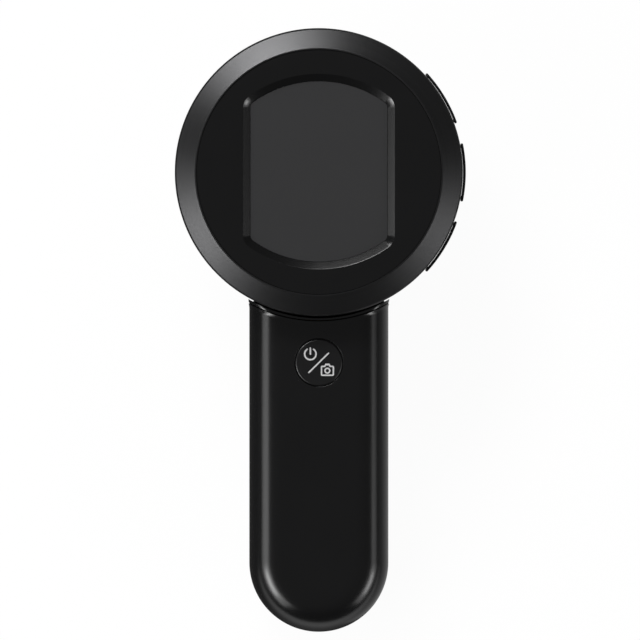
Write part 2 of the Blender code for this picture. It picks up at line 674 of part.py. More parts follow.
def make_rear_shell():
    """Head cup and handle back, moulded in one piece."""
    outer = handle_solid(0, 0, PARTING_HEIGHT, low_fillet=HANDLE_FILLET)
    shell = part("rear_shell", outer, BLACK_SATIN, head)
    root = PARTING_HEIGHT - OVERRUN
    cavity = combined(handle_solid(HANDLE_WALL, HANDLE_WALL, PARTING_HEIGHT + OVERRUN,
                                   low_fillet=HANDLE_FILLET - HANDLE_WALL),
                      [('DIFFERENCE', head_clearance(END_WALL_RADIUS))])
    lip = combined(handle_solid(LIP_INSET, root, HANDLE_THICKNESS - LIP_INSET,
                                high_fillet=HANDLE_FILLET - LIP_INSET),
                   [('INTERSECT', rod(LIP_RADIUS + LIP_THICKNESS, 0, HANDLE_THICKNESS, steps=HEAD_STEPS))])
    wall_inset = HANDLE_WALL + GAP
    end_wall = combined(handle_solid(wall_inset, root, HANDLE_THICKNESS - wall_inset,
                                     high_fillet=HANDLE_FILLET - wall_inset),
                        [('INTERSECT', rod(END_WALL_RADIUS - ROOT_DEPTH, 0, HANDLE_THICKNESS,
                                           steps=HEAD_STEPS))])
    cut(shell, cavity, "cavity")
    join(shell, end_wall, "end_wall")
    join(shell, lip, "lip")
    cut(shell, head_clearance(LIP_RADIUS), "head_room")

    neck_half = HANDLE_INNER_HALF - NECK_SIDE_ROOM
    neck_low = FLOOR_LOW + NECK_RISE
    neck_high = HANDLE_INNER_TOP - GAP
    neck_inner = (CUP_RADIUS + CUP_INNER_RADIUS) / 2
    neck_outer = LIP_RADIUS + LIP_THICKNESS / 2
    inner_turn = math.degrees(math.asin(neck_half / neck_inner))
    outer_turn = math.degrees(math.asin(neck_half / neck_outer))
    neck_loop = arc((0, 0), neck_outer, -90 - outer_turn, -90 + outer_turn, ARCH_STEPS)
    neck_loop += arc((0, 0), neck_inner, -90 + inner_turn, -90 - inner_turn, ARCH_STEPS)
    join(shell, plate([neck_loop], neck_low, neck_high), "neck")
    join(shell, cup_mesh(), "cup")

    passage_middle = (neck_low + neck_high) / 2
    half_passage = RIBBON_PASSAGE_WIDTH / 2
    half_height = (neck_high - neck_low) * RIBBON_PASSAGE_HEIGHT_SHARE / 2
    passage = block(-half_passage, half_passage, -END_WALL_RADIUS - OVERRUN, -CUP_INNER_RADIUS + CUP_WALL,
                    passage_middle - half_height, passage_middle + half_height)
    cut(shell, passage, "ribbon_passage")

    slot_low = SIDE_BUTTON_LEVEL - SIDE_BUTTON_HEIGHT / 2 - GAP
    slot_high = SIDE_BUTTON_LEVEL + SIDE_BUTTON_HEIGHT / 2 + GAP
    slot = plate([band(CUP_INNER_RADIUS - CUP_WALL, CUP_RADIUS + OVERRUN, SIDE_SLOT_TURN,
                       SIDE_BUTTON_STEPS)], slot_low, slot_high)
    cut(shell, together([moved(slot, turn(angle)) for angle in SIDE_BUTTON_ANGLES]), "button_slots")

    pin_slot_high = PIN_LEVEL + PIN_RADIUS + FOCUS_TRAVEL + GAP
    pin_slot_half = PIN_RADIUS + GAP
    pin_slots = [block(BARREL_INNER_RADIUS - OVERRUN, BARREL_OUTER_RADIUS + OVERRUN, -pin_slot_half,
                       pin_slot_half, RING_LOW - OVERRUN, pin_slot_high)]
    pin_slots.append(moved(pin_slots[0], turn(180)))
    cut(shell, together(pin_slots), "pin_slots")

    board_posts = []
    board_holes = []
    for x, y in board_screw_places:
        board_posts.append(rod(BOARD_POST_RADIUS, FLOOR_HIGH - ROOT_DEPTH, BOARD_LOW, x, y))
        board_holes.append(rod(BOARD_SCREW_RADIUS + GAP, BOARD_LOW - BOARD_SCREW_LENGTH - GAP,
                               BOARD_LOW + OVERRUN, x, y))
    join(shell, together(board_posts), "board_posts")
    cut(shell, together(board_holes), "board_holes")

    posts = []
    holes = []
    heads = []
    for x, y in handle_screw_places:
        posts.append(rod(SEAT_POST_RADIUS, HANDLE_WALL - ROOT_DEPTH, HANDLE_POST_LEVEL, x, y))
        holes.append(rod(HANDLE_SCREW_RADIUS + GAP, -OVERRUN, HANDLE_POST_LEVEL + OVERRUN, x, y))
        heads.append(rod(HANDLE_SCREW_HEAD_RADIUS + GAP, -OVERRUN, HANDLE_SEAT, x, y, BARREL_STEPS))
    inside_skin = handle_solid(ROOT_DEPTH, ROOT_DEPTH, PARTING_HEIGHT, low_fillet=HANDLE_FILLET - ROOT_DEPTH)
    join(shell, combined(together(posts), [('INTERSECT', inside_skin)]), "screw_posts")
    cut(shell, together(heads), "screw_heads")
    cut(shell, together(holes), "screw_holes")
    cut(shell, usb_port_mesh(), "usb_port")


def usb_port_mesh():
    """The charging port's opening through the handle's end."""
    half_width = USB_WIDTH / 2 + USB_PORT_ROOM
    half_height = USB_HEIGHT / 2 + USB_PORT_ROOM
    port = block(-half_width, half_width, -HANDLE_REACH - OVERRUN, HANDLE_WALL + OVERRUN - HANDLE_REACH,
                 PARTING_HEIGHT - half_height, PARTING_HEIGHT + half_height)
    return rounded_edges(port, Vector((0, 1, 0)), USB_CORNER + USB_PORT_ROOM)


def make_handle_cover():
    """Front half of the handle, open at its top end, with the posts that its screws hold."""
    outer = handle_solid(0, PARTING_HEIGHT, HANDLE_THICKNESS, high_fillet=HANDLE_FILLET)
    cover = part("handle_cover", outer, BLACK_SATIN, head)
    cut(cover, handle_solid(HANDLE_WALL, PARTING_HEIGHT - OVERRUN, HANDLE_INNER_TOP,
                            high_fillet=HANDLE_FILLET - HANDLE_WALL), "cavity")
    cut(cover, rod(COVER_END_RADIUS, 0, HANDLE_THICKNESS + OVERRUN, steps=HEAD_STEPS), "head_room")
    posts = [rod(HANDLE_POST_RADIUS, HANDLE_POST_LEVEL, HANDLE_INNER_TOP + ROOT_DEPTH, x, y)
             for x, y in handle_screw_places]
    posts += [rod(BOARD_POST_RADIUS, CONTROL_BOARD_HIGH, HANDLE_INNER_TOP + ROOT_DEPTH, x, y)
              for x, y in control_screw_places]
    join(cover, together(posts), "posts")
    holes = [rod(HANDLE_SCREW_RADIUS + GAP, HANDLE_POST_LEVEL - OVERRUN,
                 HANDLE_SEAT + HANDLE_SCREW_LENGTH + GAP, x, y) for x, y in handle_screw_places]
    holes += [rod(BOARD_SCREW_RADIUS + GAP, CONTROL_BOARD_HIGH - OVERRUN,
                  CONTROL_BOARD_LOW + BOARD_SCREW_LENGTH + GAP, x, y) for x, y in control_screw_places]
    holes.append(rod(POWER_BUTTON_RADIUS + POWER_BUTTON_ROOM, HANDLE_INNER_TOP - OVERRUN,
                     HANDLE_THICKNESS + OVERRUN, 0, -POWER_BUTTON_REACH, BARREL_STEPS))
    cut(cover, together(holes), "holes")
    half_slot = CARD_WIDTH / 2 + CARD_ROOM + CARD_ROOM
    card_slot = block(-HANDLE_WIDTH / 2 - OVERRUN, -HANDLE_INNER_HALF + OVERRUN,
                      -CARD_REACH - half_slot, -CARD_REACH + half_slot,
                      card_low - CARD_ROOM - CARD_ROOM, card_low + CARD_THICKNESS + CARD_ROOM + CARD_ROOM)
    cut(cover, card_slot, "card_slot")
    cut(cover, usb_port_mesh(), "usb_port")


def make_bezel_and_face():
    """Chamfered metal ring, window plate, pane, foam frame, screen and its carrier."""
    chamfer_height = CHAMFER_WIDTH * math.tan(CHAMFER_TILT)
    shoulder = BEZEL_HIGH - chamfer_height
    tongue_radius = CUP_INNER_RADIUS + TONGUE_THICKNESS + GAP
    groove_high = BEZEL_LOW + TONGUE_HEIGHT + GAP
    bezel_inner = CUP_INNER_RADIUS - GAP
    panel_room = PANEL_RADIUS + GAP
    ledge_inner = panel_room - LEDGE_WIDTH
    edge = BEZEL_EDGE_RADIUS
    profile = [(panel_room, BEZEL_HIGH), (HEAD_RADIUS - CHAMFER_WIDTH, BEZEL_HIGH),
               (HEAD_RADIUS - edge, shoulder + edge * math.tan(CHAMFER_TILT)),
               (HEAD_RADIUS, shoulder - edge), (HEAD_RADIUS, BEZEL_LOW), (tongue_radius, BEZEL_LOW),
               (tongue_radius, groove_high), (bezel_inner, groove_high), (bezel_inner, LEDGE_LOW),
               (ledge_inner, LEDGE_LOW), (ledge_inner, PANEL_LOW), (panel_room, PANEL_LOW)]
    part("bezel_ring", turned(profile), BLACK_ANODISED, head)

    face = part("face_panel", plate([circle(PANEL_RADIUS)], PANEL_LOW, PANEL_HIGH), BLACK_PLASTIC, head)
    cut(face, window_cutter(), "window")
    pocket = plate([window_loop(WINDOW_PANE_INSET - GAP)], PANEL_LOW - OVERRUN, WINDOW_HIGH)
    cut(face, pocket, "pane_pocket")

    pane = plate([window_loop(WINDOW_PANE_INSET)], WINDOW_LOW, WINDOW_HIGH)
    part("screen_window", pane, SCREEN_GREY, head)
    outer_inset = WINDOW_PANE_INSET + GASKET_INSET
    gasket_loops = [window_loop(outer_inset), window_loop(outer_inset + GASKET_WIDTH)]
    gasket = plate(gasket_loops, LCD_HIGH, WINDOW_LOW)
    part("screen_gasket", gasket, FOAM_BLACK, head)
    screen = block(-LCD_WIDTH / 2, LCD_WIDTH / 2, -LCD_HALF_LENGTH, LCD_HALF_LENGTH, LCD_LOW, LCD_HIGH)
    part("lcd_panel", screen, CHIP_BLACK, head)
    plate_low = LCD_LOW - LCD_FRAME_PLATE
    wall_inner = LCD_FRAME_RADIUS - LCD_FRAME_WALL
    frame_profile = [(LCD_FRAME_RADIUS, LCD_LOW), (LCD_FRAME_RADIUS, BOARD_HIGH), (wall_inner, BOARD_HIGH),
                     (wall_inner, plate_low), (LCD_FRAME_OPENING, plate_low), (LCD_FRAME_OPENING, LCD_LOW)]
    part("lcd_frame", turned(frame_profile), BLACK_PLASTIC, head)


def window_cutter():
    """What the window takes out of the face panel: a bevelled recess, then a straight opening."""
    bevel_low = PANEL_HIGH - WINDOW_DEPTH
    mesh = plate([window_loop(0)], PANEL_HIGH, PANEL_HIGH + OVERRUN)

    def build(work):
        under = [face for face in work.faces if face.normal.z < -SAME_DIRECTION_SHARE]
        bmesh.ops.inset_region(work, faces=under, thickness=WINDOW_BEVEL, use_even_offset=True)
        bottom = [face for face in under if face.is_valid]
        bmesh.ops.translate(work, verts=list({vert for face in bottom for vert in face.verts}),
                            vec=(0, 0, bevel_low - PANEL_HIGH))
        sunk = bmesh.ops.extrude_face_region(work, geom=bottom)
        bmesh.ops.delete(work, geom=bottom, context='FACES_ONLY')
        moved_down = [item for item in sunk["geom"] if isinstance(item, bmesh.types.BMVert)]
        bmesh.ops.translate(work, verts=moved_down, vec=(0, 0, PANEL_LOW - OVERRUN - bevel_low))

    return edited(mesh, build)


def make_head_electronics():
    """Main board with its chip, sensor, ribbon socket, screws and the three rim switches."""
    holes = [circle(BOARD_SCREW_RADIUS + GAP, SMALL_STEPS, place) for place in board_screw_places]
    part("main_board", plate([circle(BOARD_RADIUS)] + holes, BOARD_LOW, BOARD_HIGH), GREEN_BOARD, head)
    screw = screw_mesh(BOARD_SCREW_RADIUS, BOARD_SCREW_LENGTH + BOARD_THICKNESS, BOARD_SCREW_HEAD_RADIUS,
                       BOARD_SCREW_HEAD_HEIGHT)
    screw.transform(turn(180, 'X'))
    for number, (x, y) in enumerate(board_screw_places, start=1):
        part("board_screw_%d" % number, screw.copy(), STEEL, head,
             (x, y, BOARD_HIGH + BOARD_SCREW_HEAD_HEIGHT))
    half_chip = CHIP_WIDTH / 2
    chip = block(-half_chip, half_chip, -half_chip, half_chip, 0, CHIP_HEIGHT)
    part("processor", chip, CHIP_BLACK, head, (0, CHIP_Y, BOARD_HIGH))
    half_sensor = SENSOR_WIDTH / 2
    sensor = block(-half_sensor, half_sensor, -half_sensor, half_sensor, -SENSOR_HEIGHT, 0)
    part("image_sensor", sensor, CHIP_BLACK, head, (0, 0, BOARD_LOW))
    half_ribbon = RIBBON_WIDTH / 2 + RIBBON_THICKNESS
    socket = block(-half_ribbon, half_ribbon, -RIBBON_SOCKET_DEPTH / 2, RIBBON_SOCKET_DEPTH / 2,
                   -RIBBON_SOCKET_HEIGHT, 0)
    part("ribbon_socket_head", socket, SOCKET_WHITE, head, (0, -RIBBON_HEAD_REACH, BOARD_LOW))

    plunger_level = -SWITCH_HEIGHT / 2
    body = block(-SWITCH_DEPTH, 0, -SWITCH_WIDTH / 2, SWITCH_WIDTH / 2, -SWITCH_HEIGHT, 0)
    plunger = rod(SWITCH_PLUNGER_RADIUS, -SWITCH_DEPTH / 2, SWITCH_PLUNGER_LENGTH)
    plunger.transform(Matrix.Translation((0, 0, plunger_level)) @ turn(90, 'Y'))
    switch = combined(body, [('UNION', plunger)])
    for number, angle in enumerate(SIDE_BUTTON_ANGLES, start=1):
        place = turn(angle) @ Vector((BOARD_RADIUS, 0, BOARD_LOW))
        part("side_switch_%d" % number, switch.copy(), STEEL, head, place, angle)


def make_rim_buttons():
    """Three curved keys that slide inwards through the cup's wall."""
    low = SIDE_BUTTON_LEVEL - SIDE_BUTTON_HEIGHT / 2
    high = SIDE_BUTTON_LEVEL + SIDE_BUTTON_HEIGHT / 2
    flange_middle = (SIDE_FLANGE_INNER + SIDE_FLANGE_OUTER) / 2
    cap_loop = band(flange_middle, SIDE_BUTTON_RADIUS, SIDE_BUTTON_HALF_TURN, SIDE_BUTTON_STEPS)
    cap = plate([cap_loop], low, high)

    def round_outside(work):
        outside = []
        for edge in work.edges:
            middle = (edge.verts[0].co + edge.verts[1].co) / 2
            if middle.xy.length > CUP_RADIUS and len(edge.link_faces) == 2:
                if edge.calc_face_angle() > CORNER_ANGLE:
                    outside.append(edge)
        bmesh.ops.bevel(work, geom=outside, offset=SIDE_BUTTON_EDGE, segments=2, profile=0.5,
                        affect='EDGES')

    edited(cap, round_outside)
    flange_turn = SIDE_SLOT_TURN + SIDE_FLANGE_LAP / CUP_INNER_RADIUS
    flange = plate([band(SIDE_FLANGE_INNER, SIDE_FLANGE_OUTER, flange_turn, SIDE_BUTTON_STEPS)],
                   low - SIDE_FLANGE_LAP, high + SIDE_FLANGE_LAP)
    nub_end = BOARD_RADIUS + SWITCH_PLUNGER_LENGTH + SIDE_BUTTON_TRAVEL + STOP_ROOM
    nub = rod(SWITCH_PLUNGER_RADIUS, nub_end, flange_middle)
    nub.transform(Matrix.Translation((0, 0, BOARD_LOW - SWITCH_HEIGHT / 2)) @ turn(90, 'Y'))
    button = combined(cap, [('UNION', flange), ('UNION', nub)])
    for name, angle in zip(SIDE_BUTTON_NAMES, SIDE_BUTTON_ANGLES):
        part(name, button.copy(), BLACK_PLASTIC, head, rotation=angle)


def make_optics():
    """Fixed lens tube, filter, and the sliding carrier with its two lenses."""
    filter_low = BOARD_LOW - SENSOR_HEIGHT - FILTER_ROOM - FILTER_THICKNESS
    ledge_low = filter_low - FILTER_LEDGE_HEIGHT
    flange_low = BOARD_LOW - LENS_TUBE_FLANGE_HEIGHT
    flange_radius = LENS_TUBE_OUTER + LENS_TUBE_FLANGE
    profile = [(flange_radius, BOARD_LOW), (flange_radius, flange_low), (LENS_TUBE_OUTER, flange_low),
               (LENS_TUBE_OUTER, FLOOR_LOW + GAP), (LENS_TUBE_INNER, FLOOR_LOW + GAP),
               (LENS_TUBE_INNER, ledge_low), (LENS_TUBE_INNER - FILTER_LEDGE_WIDTH, ledge_low),
               (LENS_TUBE_INNER - FILTER_LEDGE_WIDTH, filter_low), (LENS_TUBE_INNER, filter_low),
               (LENS_TUBE_INNER, BOARD_LOW)]
    part("lens_tube", turned(profile, BARREL_STEPS), BLACK_PLASTIC, head)
    glass = rod(LENS_TUBE_INNER - GAP, 0, FILTER_THICKNESS, steps=BARREL_STEPS)
    part("ir_filter", glass, LENS_GLASS, head, (0, 0, filter_low))

    lens_ledge_low = CARRIER_LOW + CARRIER_LENGTH * LENS_LEDGE_LOW_SHARE
    lens_ledge_high = CARRIER_LOW + CARRIER_LENGTH * LENS_LEDGE_HIGH_SHARE
    plate_high = CARRIER_PLATE_LOW + CARRIER_PLATE_THICKNESS
    ledge_radius = CARRIER_BORE - LENS_LEDGE_WIDTH
    plate_radius = BARREL_INNER_RADIUS - GAP
    profile = [(CARRIER_RADIUS, CARRIER_HIGH), (CARRIER_RADIUS, plate_high), (plate_radius, plate_high),
               (plate_radius, CARRIER_PLATE_LOW), (CARRIER_RADIUS, CARRIER_PLATE_LOW),
               (CARRIER_RADIUS, CARRIER_LOW), (CARRIER_BORE, CARRIER_LOW), (CARRIER_BORE, lens_ledge_low),
               (ledge_radius, lens_ledge_low), (ledge_radius, lens_ledge_high),
               (CARRIER_BORE, lens_ledge_high), (CARRIER_BORE, CARRIER_HIGH)]
    carrier = part("lens_carrier", turned(profile, BARREL_STEPS), BLACK_PLASTIC, head)
    pin = rod(PIN_RADIUS, CARRIER_RADIUS + CARRIER_WALL, PIN_END)
    pin.transform(Matrix.Translation((0, 0, PIN_LEVEL)) @ turn(90, 'Y'))
    join(carrier, together([pin, moved(pin, turn(180))]), "cam_pins")

    lens_profile = [(0, LENS_EDGE + LENS_CROWN)]
    for step in range(1, CORNER_STEPS + 1):
        share = step / CORNER_STEPS
        lens_profile.append((LENS_RADIUS * share, LENS_EDGE + LENS_CROWN * (1 - share ** 2)))
    lens_profile += [(LENS_RADIUS, 0), (0, 0)]
    lens = turned(lens_profile, LENS_STEPS, closed=False)
    part("rear_lens", lens.copy(), LENS_GLASS, head, (0, 0, lens_ledge_high))
    part("front_lens", moved(lens, turn(180, 'X')), LENS_GLASS, head, (0, 0, lens_ledge_low))
    retainer_high = lens_ledge_low - LENS_EDGE - LENS_CROWN
    inner = LENS_RADIUS - RETAINER_WIDTH
    ring_profile = [(LENS_RADIUS, 0), (LENS_RADIUS, -RETAINER_HEIGHT), (inner, -RETAINER_HEIGHT), (inner, 0)]
    part("lens_retainer", turned(ring_profile, LENS_STEPS), BLACK_ANODISED, head, (0, 0, retainer_high))


def groove_cutter(start_turn):
    """A helical groove for one cam pin, with the channel that the pin enters by."""
    reach = FOCUS_TURN + GROOVE_MARGIN_TURN
    end = reach + GROOVE_ENTRY_TURN
    half = PIN_RADIUS + PIN_ROOM
    near = BARREL_OUTER_RADIUS

    def build(work):
        corners = []
        for radius, level in ((near, -half), (GROOVE_BOTTOM, -half), (GROOVE_BOTTOM, half), (near, half)):
            corners.append(work.verts.new((radius, 0, PIN_LEVEL + FOCUS_LEAD * end + level)))
        section = work.faces.new(corners)
        bmesh.ops.rotate(work, verts=work.verts, cent=(0, 0, 0), matrix=Matrix.Rotation(-end, 3, 'Z'))
        bmesh.ops.spin(work, geom=[section], cent=(0, 0, 0), axis=(0, 0, 1), angle=end + reach,
                       steps=GROOVE_STEPS, dvec=(0, 0, -FOCUS_LEAD * (end + reach) / GROOVE_STEPS))
        bmesh.ops.recalc_face_normals(work, faces=work.faces)

    groove = edited(bpy.data.meshes.new("groove"), build)
    channel_half = half / GROOVE_BOTTOM
    channel = plate([band(near - GAP, GROOVE_BOTTOM + GAP, channel_half, 1)],
                    PIN_LEVEL + FOCUS_LEAD * end, RING_HIGH + OVERRUN)
    cutter = combined(groove, [('UNION', moved(channel, turn(math.degrees(-end))))])
    return moved(cutter, turn(start_turn))


def make_focus_ring_and_skirt():
    """Grip ring with its cam grooves, the clear skirt that keeps it on, and the lamp board."""
    grip = []
    for number in range(RING_GRIPS):
        for corner, share in enumerate(GRIP_SHARES):
            angle = math.tau * (number + share) / RING_GRIPS
            radius = RING_OUTER_RADIUS - RING_GRIP_DEPTH * (corner % 3 == 0)
            grip.append((radius * math.cos(angle), radius * math.sin(angle)))
    blank = plate([grip, circle(RING_INNER_RADIUS)], RING_LOW, RING_HIGH)
    ring = part("focus_ring", blank, BLACK_PLASTIC, head)
    cut(ring, together([groove_cutter(0), groove_cutter(180)]), "cam_grooves")

    upstand_outer = BARREL_INNER_RADIUS - GAP
    upstand_inner = upstand_outer - SKIRT_FOOT_WIDTH
    flange_radius = RING_INNER_RADIUS + SKIRT_FLANGE_LAP
    flange_low = SKIRT_REACH - SKIRT_FLANGE
    foot_outer = BARREL_OUTER_RADIUS
    foot_low_outer = foot_outer - SKIRT_TAPER / 2
    profile = [(upstand_outer, LED_BOARD_LEVEL), (upstand_outer, SKIRT_REACH), (flange_radius, SKIRT_REACH),
               (flange_radius, flange_low), (foot_outer, flange_low), (foot_low_outer, 0),
               (foot_low_outer - SKIRT_FOOT_WIDTH, 0), (upstand_inner, flange_low),
               (upstand_inner, LED_BOARD_LEVEL)]
    part("clear_skirt", turned(profile), CLEAR, head)

    hole = circle(CARRIER_RADIUS + LED_BOARD_HOLE_ROOM, BARREL_STEPS)
    lamp_board = plate([circle(LED_BOARD_RADIUS), hole], LED_BOARD_LEVEL,
                       LED_BOARD_LEVEL + LED_BOARD_THICKNESS)
    part("led_board", lamp_board, WHITE_BOARD, head)
    for number in range(LED_COUNT):
        angle = 360 * (number + 0.5) / LED_COUNT
        lamp = block(-LED_LENGTH / 2, LED_LENGTH / 2, -LED_WIDTH / 2, LED_WIDTH / 2, -LED_HEIGHT, 0)
        place = turn(angle) @ Vector((LED_CIRCLE, 0, LED_BOARD_LEVEL))
        part("led_%d" % (number + 1), lamp, LAMP_YELLOW, head, place, angle)


def make_power_button():
    """Round button in the handle's front and the switch under it."""
    high = HANDLE_THICKNESS
    flange_radius = POWER_BUTTON_RADIUS + POWER_FLANGE_WIDTH
    profile = [(0, high), (POWER_BUTTON_RADIUS - POWER_BUTTON_EDGE, high),
               (POWER_BUTTON_RADIUS, high - POWER_BUTTON_EDGE), (POWER_BUTTON_RADIUS, POWER_FLANGE_HIGH),
               (flange_radius, POWER_FLANGE_HIGH), (flange_radius, POWER_FLANGE_LOW),
               (POWER_STEM_RADIUS, POWER_FLANGE_LOW), (POWER_STEM_RADIUS, POWER_STEM_LOW),
               (0, POWER_STEM_LOW)]
    part("power_button", turned(profile, BARREL_STEPS, closed=False), BLACK_PLASTIC, head,
         (0, -POWER_BUTTON_REACH, 0))
    half = POWER_SWITCH_WIDTH / 2
    plunger_high = POWER_STEM_LOW - POWER_BUTTON_TRAVEL - STOP_ROOM
    body_high = plunger_high - POWER_PLUNGER_LENGTH
    body = block(-half, half, -half, half, CONTROL_BOARD_HIGH, body_high)
    switch = combined(body, [('UNION', rod(POWER_STEM_RADIUS, body_high - ROOT_DEPTH, plunger_high))])
    part("power_switch", switch, STEEL, head, (0, -POWER_BUTTON_REACH, 0))


def control_board_loop():
    """Plan of the control board: a nose past the upper screw posts, a body and a tail to the port."""
    nose_start = -END_WALL_RADIUS - CONTROL_BOARD_HEAD_ROOM
    tail_end = USB_DEPTH / 2 - USB_MOUTH
    wide = HANDLE_INNER_HALF - CONTROL_BOARD_SIDE_ROOM
    nose = CONTROL_BOARD_NOSE_HALF
    tail = CONTROL_BOARD_TAIL_HALF
    right = [(tail, tail_end), (tail, -BAY_END), (wide, -BAY_END), (wide, -BAY_START), (nose, -BAY_START),
             (nose, nose_start)]
    return right + [(-x, y) for x, y in reversed(right)]


def make_handle_electronics():
    """Control board on the cover's posts, with the charging port and the card socket."""
    holes = [circle(BOARD_SCREW_RADIUS + GAP, SMALL_STEPS, place) for place in control_screw_places]
    board = plate([control_board_loop()] + holes, CONTROL_BOARD_LOW, CONTROL_BOARD_HIGH)
    part("control_board", board, GREEN_BOARD, head)
    screw = screw_mesh(BOARD_SCREW_RADIUS, BOARD_SCREW_LENGTH, BOARD_SCREW_HEAD_RADIUS,
                       BOARD_SCREW_HEAD_HEIGHT)
    for number, (x, y) in enumerate(control_screw_places, start=1):
        part("control_board_screw_%d" % number, screw.copy(), STEEL, head,
             (x, y, CONTROL_BOARD_LOW - BOARD_SCREW_HEAD_HEIGHT))

    half_width = USB_WIDTH / 2
    half_height = USB_HEIGHT / 2
    port = block(-half_width, half_width, 0, USB_DEPTH, -half_height, half_height)
    rounded_edges(port, Vector((0, 1, 0)), USB_CORNER)
    hollow = block(USB_WALL - half_width, half_width - USB_WALL, -OVERRUN, USB_DEPTH - USB_CORNER,
                   USB_WALL - half_height, half_height - USB_WALL)
    rounded_edges(hollow, Vector((0, 1, 0)), USB_CORNER - USB_WALL)
    tongue = block(-USB_TONGUE_WIDTH / 2, USB_TONGUE_WIDTH / 2, USB_CORNER, USB_DEPTH - USB_CORNER / 2,
                   -USB_TONGUE_THICKNESS / 2, USB_TONGUE_THICKNESS / 2)
    socket = combined(port, [('DIFFERENCE', hollow), ('UNION', tongue)])
    part("usb_socket", socket, STEEL, head, (0, -USB_MOUTH, PARTING_HEIGHT))

    left = CONTROL_BOARD_SIDE_ROOM - HANDLE_INNER_HALF
    half_card = CARD_WIDTH / 2
    room_low = card_low - CARD_ROOM
    room_high = card_low + CARD_THICKNESS + CARD_ROOM
    right = card_left + CARD_LENGTH + CARD_ROOM + CARD_SOCKET_BACK
    shell = block(left, right, -CARD_SOCKET_HALF, CARD_SOCKET_HALF, CONTROL_BOARD_HIGH,
                  room_high + CARD_SOCKET_WALL)
    room = block(left - OVERRUN, right - CARD_SOCKET_BACK, -half_card - CARD_ROOM, half_card + CARD_ROOM,
                 room_low, room_high)
    part("card_socket", combined(shell, [('DIFFERENCE', room)]), STEEL, head, (0, -CARD_REACH, 0))
    card = block(card_left, card_left + CARD_LENGTH, -half_card, half_card, card_low,
                 card_low + CARD_THICKNESS)
    part("memory_card", card, CHIP_BLACK, head, (0, -CARD_REACH, 0))


def make_battery():
    """Flat cell on a foam pad, with its plug and two leads."""
    cell = plate([rectangle(-BATTERY_HALF_WIDTH, BATTERY_HALF_WIDTH, -BAY_END, -BAY_START)],
                 BATTERY_LOW, BATTERY_HIGH)
    rounded_edges(cell, Vector((0, 1, 0)), BATTERY_CORNER)
    part("battery", cell, CELL_SILVER, head)
    pad_half = BATTERY_HALF_WIDTH - PAD_INSET
    pad = block(-pad_half, pad_half, PAD_INSET - BAY_END, -BAY_START - PAD_INSET, HANDLE_WALL, BATTERY_LOW)
    part("battery_pad", pad, FOAM_BLACK, head)
    plug_reach = (END_WALL_RADIUS + BAY_START) / 2
    plug = block(-PLUG_WIDTH / 2, PLUG_WIDTH / 2, -PLUG_DEPTH / 2, PLUG_DEPTH / 2, 0, PLUG_HEIGHT)
    part("battery_plug", plug, SOCKET_WHITE, head, (0, -plug_reach, PLUG_LOW))
    lead_level = (BATTERY_LOW + BATTERY_HIGH) / 2
    bend = (BAY_START - plug_reach) * LEAD_BEND_SHARE
    for name, side, look in (("battery_lead_red", 1, RED_WIRE), ("battery_lead_black", -1, BLACK_WIRE)):
        x = side * LEAD_OFFSET
        path = [(x, GAP - BAY_START, lead_level), (x, bend / 2 - BAY_START, lead_level)]
        for step in range(1, LEAD_STEPS):
            angle = math.pi / 2 * step / LEAD_STEPS
            path.append((x, -plug_reach - (bend / 2) * (1 - math.sin(angle)),
                         lead_level + (bend / 2) * (1 - math.cos(angle))))
        path += [(x, -plug_reach, lead_level + bend / 2), (x, -plug_reach, PLUG_LOW - GAP)]
        part(name, tube_mesh(path, LEAD_RADIUS), look, head)


def tube_mesh(path, radius):
    """A round wire along a list of points."""
    curve = bpy.data.curves.new("wire", 'CURVE')
    curve.dimensions = '3D'
    curve.bevel_depth = radius
    curve.bevel_resolution = 1
    curve.use_fill_caps = True
    spline = curve.splines.new('POLY')
    spline.points.add(len(path) - 1)
    for point, place in zip(spline.points, path):
        point.co = (*place, 1)

    def weld(work):
        bmesh.ops.remove_doubles(work, verts=work.verts, dist=WELD_DISTANCE)
        bmesh.ops.recalc_face_normals(work, faces=work.faces)

    return edited(evaluated_mesh(bpy.data.objects.new("wire", curve)), weld)


def make_ribbon():
    """Flat ribbon through the neck, from the main board's socket to the control board's."""
    half = RIBBON_WIDTH / 2 + RIBBON_THICKNESS
    end_reach = END_WALL_RADIUS + CONTROL_BOARD_HEAD_ROOM + RIBBON_SOCKET_DEPTH / 2
    socket = block(-half, half, -RIBBON_SOCKET_DEPTH / 2, RIBBON_SOCKET_DEPTH / 2, 0, RIBBON_SOCKET_HEIGHT)
    part("ribbon_socket_handle", socket, SOCKET_WHITE, head, (0, -end_reach, CONTROL_BOARD_HIGH))
    start = Vector((RIBBON_HEAD_REACH + RIBBON_SOCKET_DEPTH / 2 + GAP,
                    BOARD_LOW - RIBBON_SOCKET_HEIGHT / 2))
    end = Vector((end_reach, CONTROL_BOARD_HIGH + RIBBON_SOCKET_HEIGHT + GAP))
    middle_level = (FLOOR_LOW + NECK_RISE + HANDLE_INNER_TOP - GAP) / 2
    through = [Vector((CUP_INNER_RADIUS, middle_level)), Vector((END_WALL_RADIUS, middle_level))]
    points = [start]
    for step in range(1, RIBBON_STEPS):
        points.append(bezier(start, through[0], through[1], end, step / RIBBON_STEPS))
    points.append(end)
    mesh = bpy.data.meshes.new("strip")
    verts = [(side * RIBBON_WIDTH / 2, -point.x, point.y) for point in points for side in (-1, 1)]
    faces = [(row, row + 1, row + 3, row + 2) for row in range(0, 2 * len(points) - 2, 2)]
    mesh.from_pydata(verts, [], faces)
    ribbon = part("ribbon_cable", mesh, RIBBON_AMBER, head)
    solidify = ribbon.modifiers.new("thickness", 'SOLIDIFY')
    solidify.thickness = RIBBON_THICKNESS
    solidify.offset = 0


def bezier(first, second, third, last, share):
    """A point on a cubic curve."""
    rest = 1 - share
    return (first * rest ** 3 + second * 3 * rest ** 2 * share + third * 3 * rest * share ** 2
            + last * share ** 3)


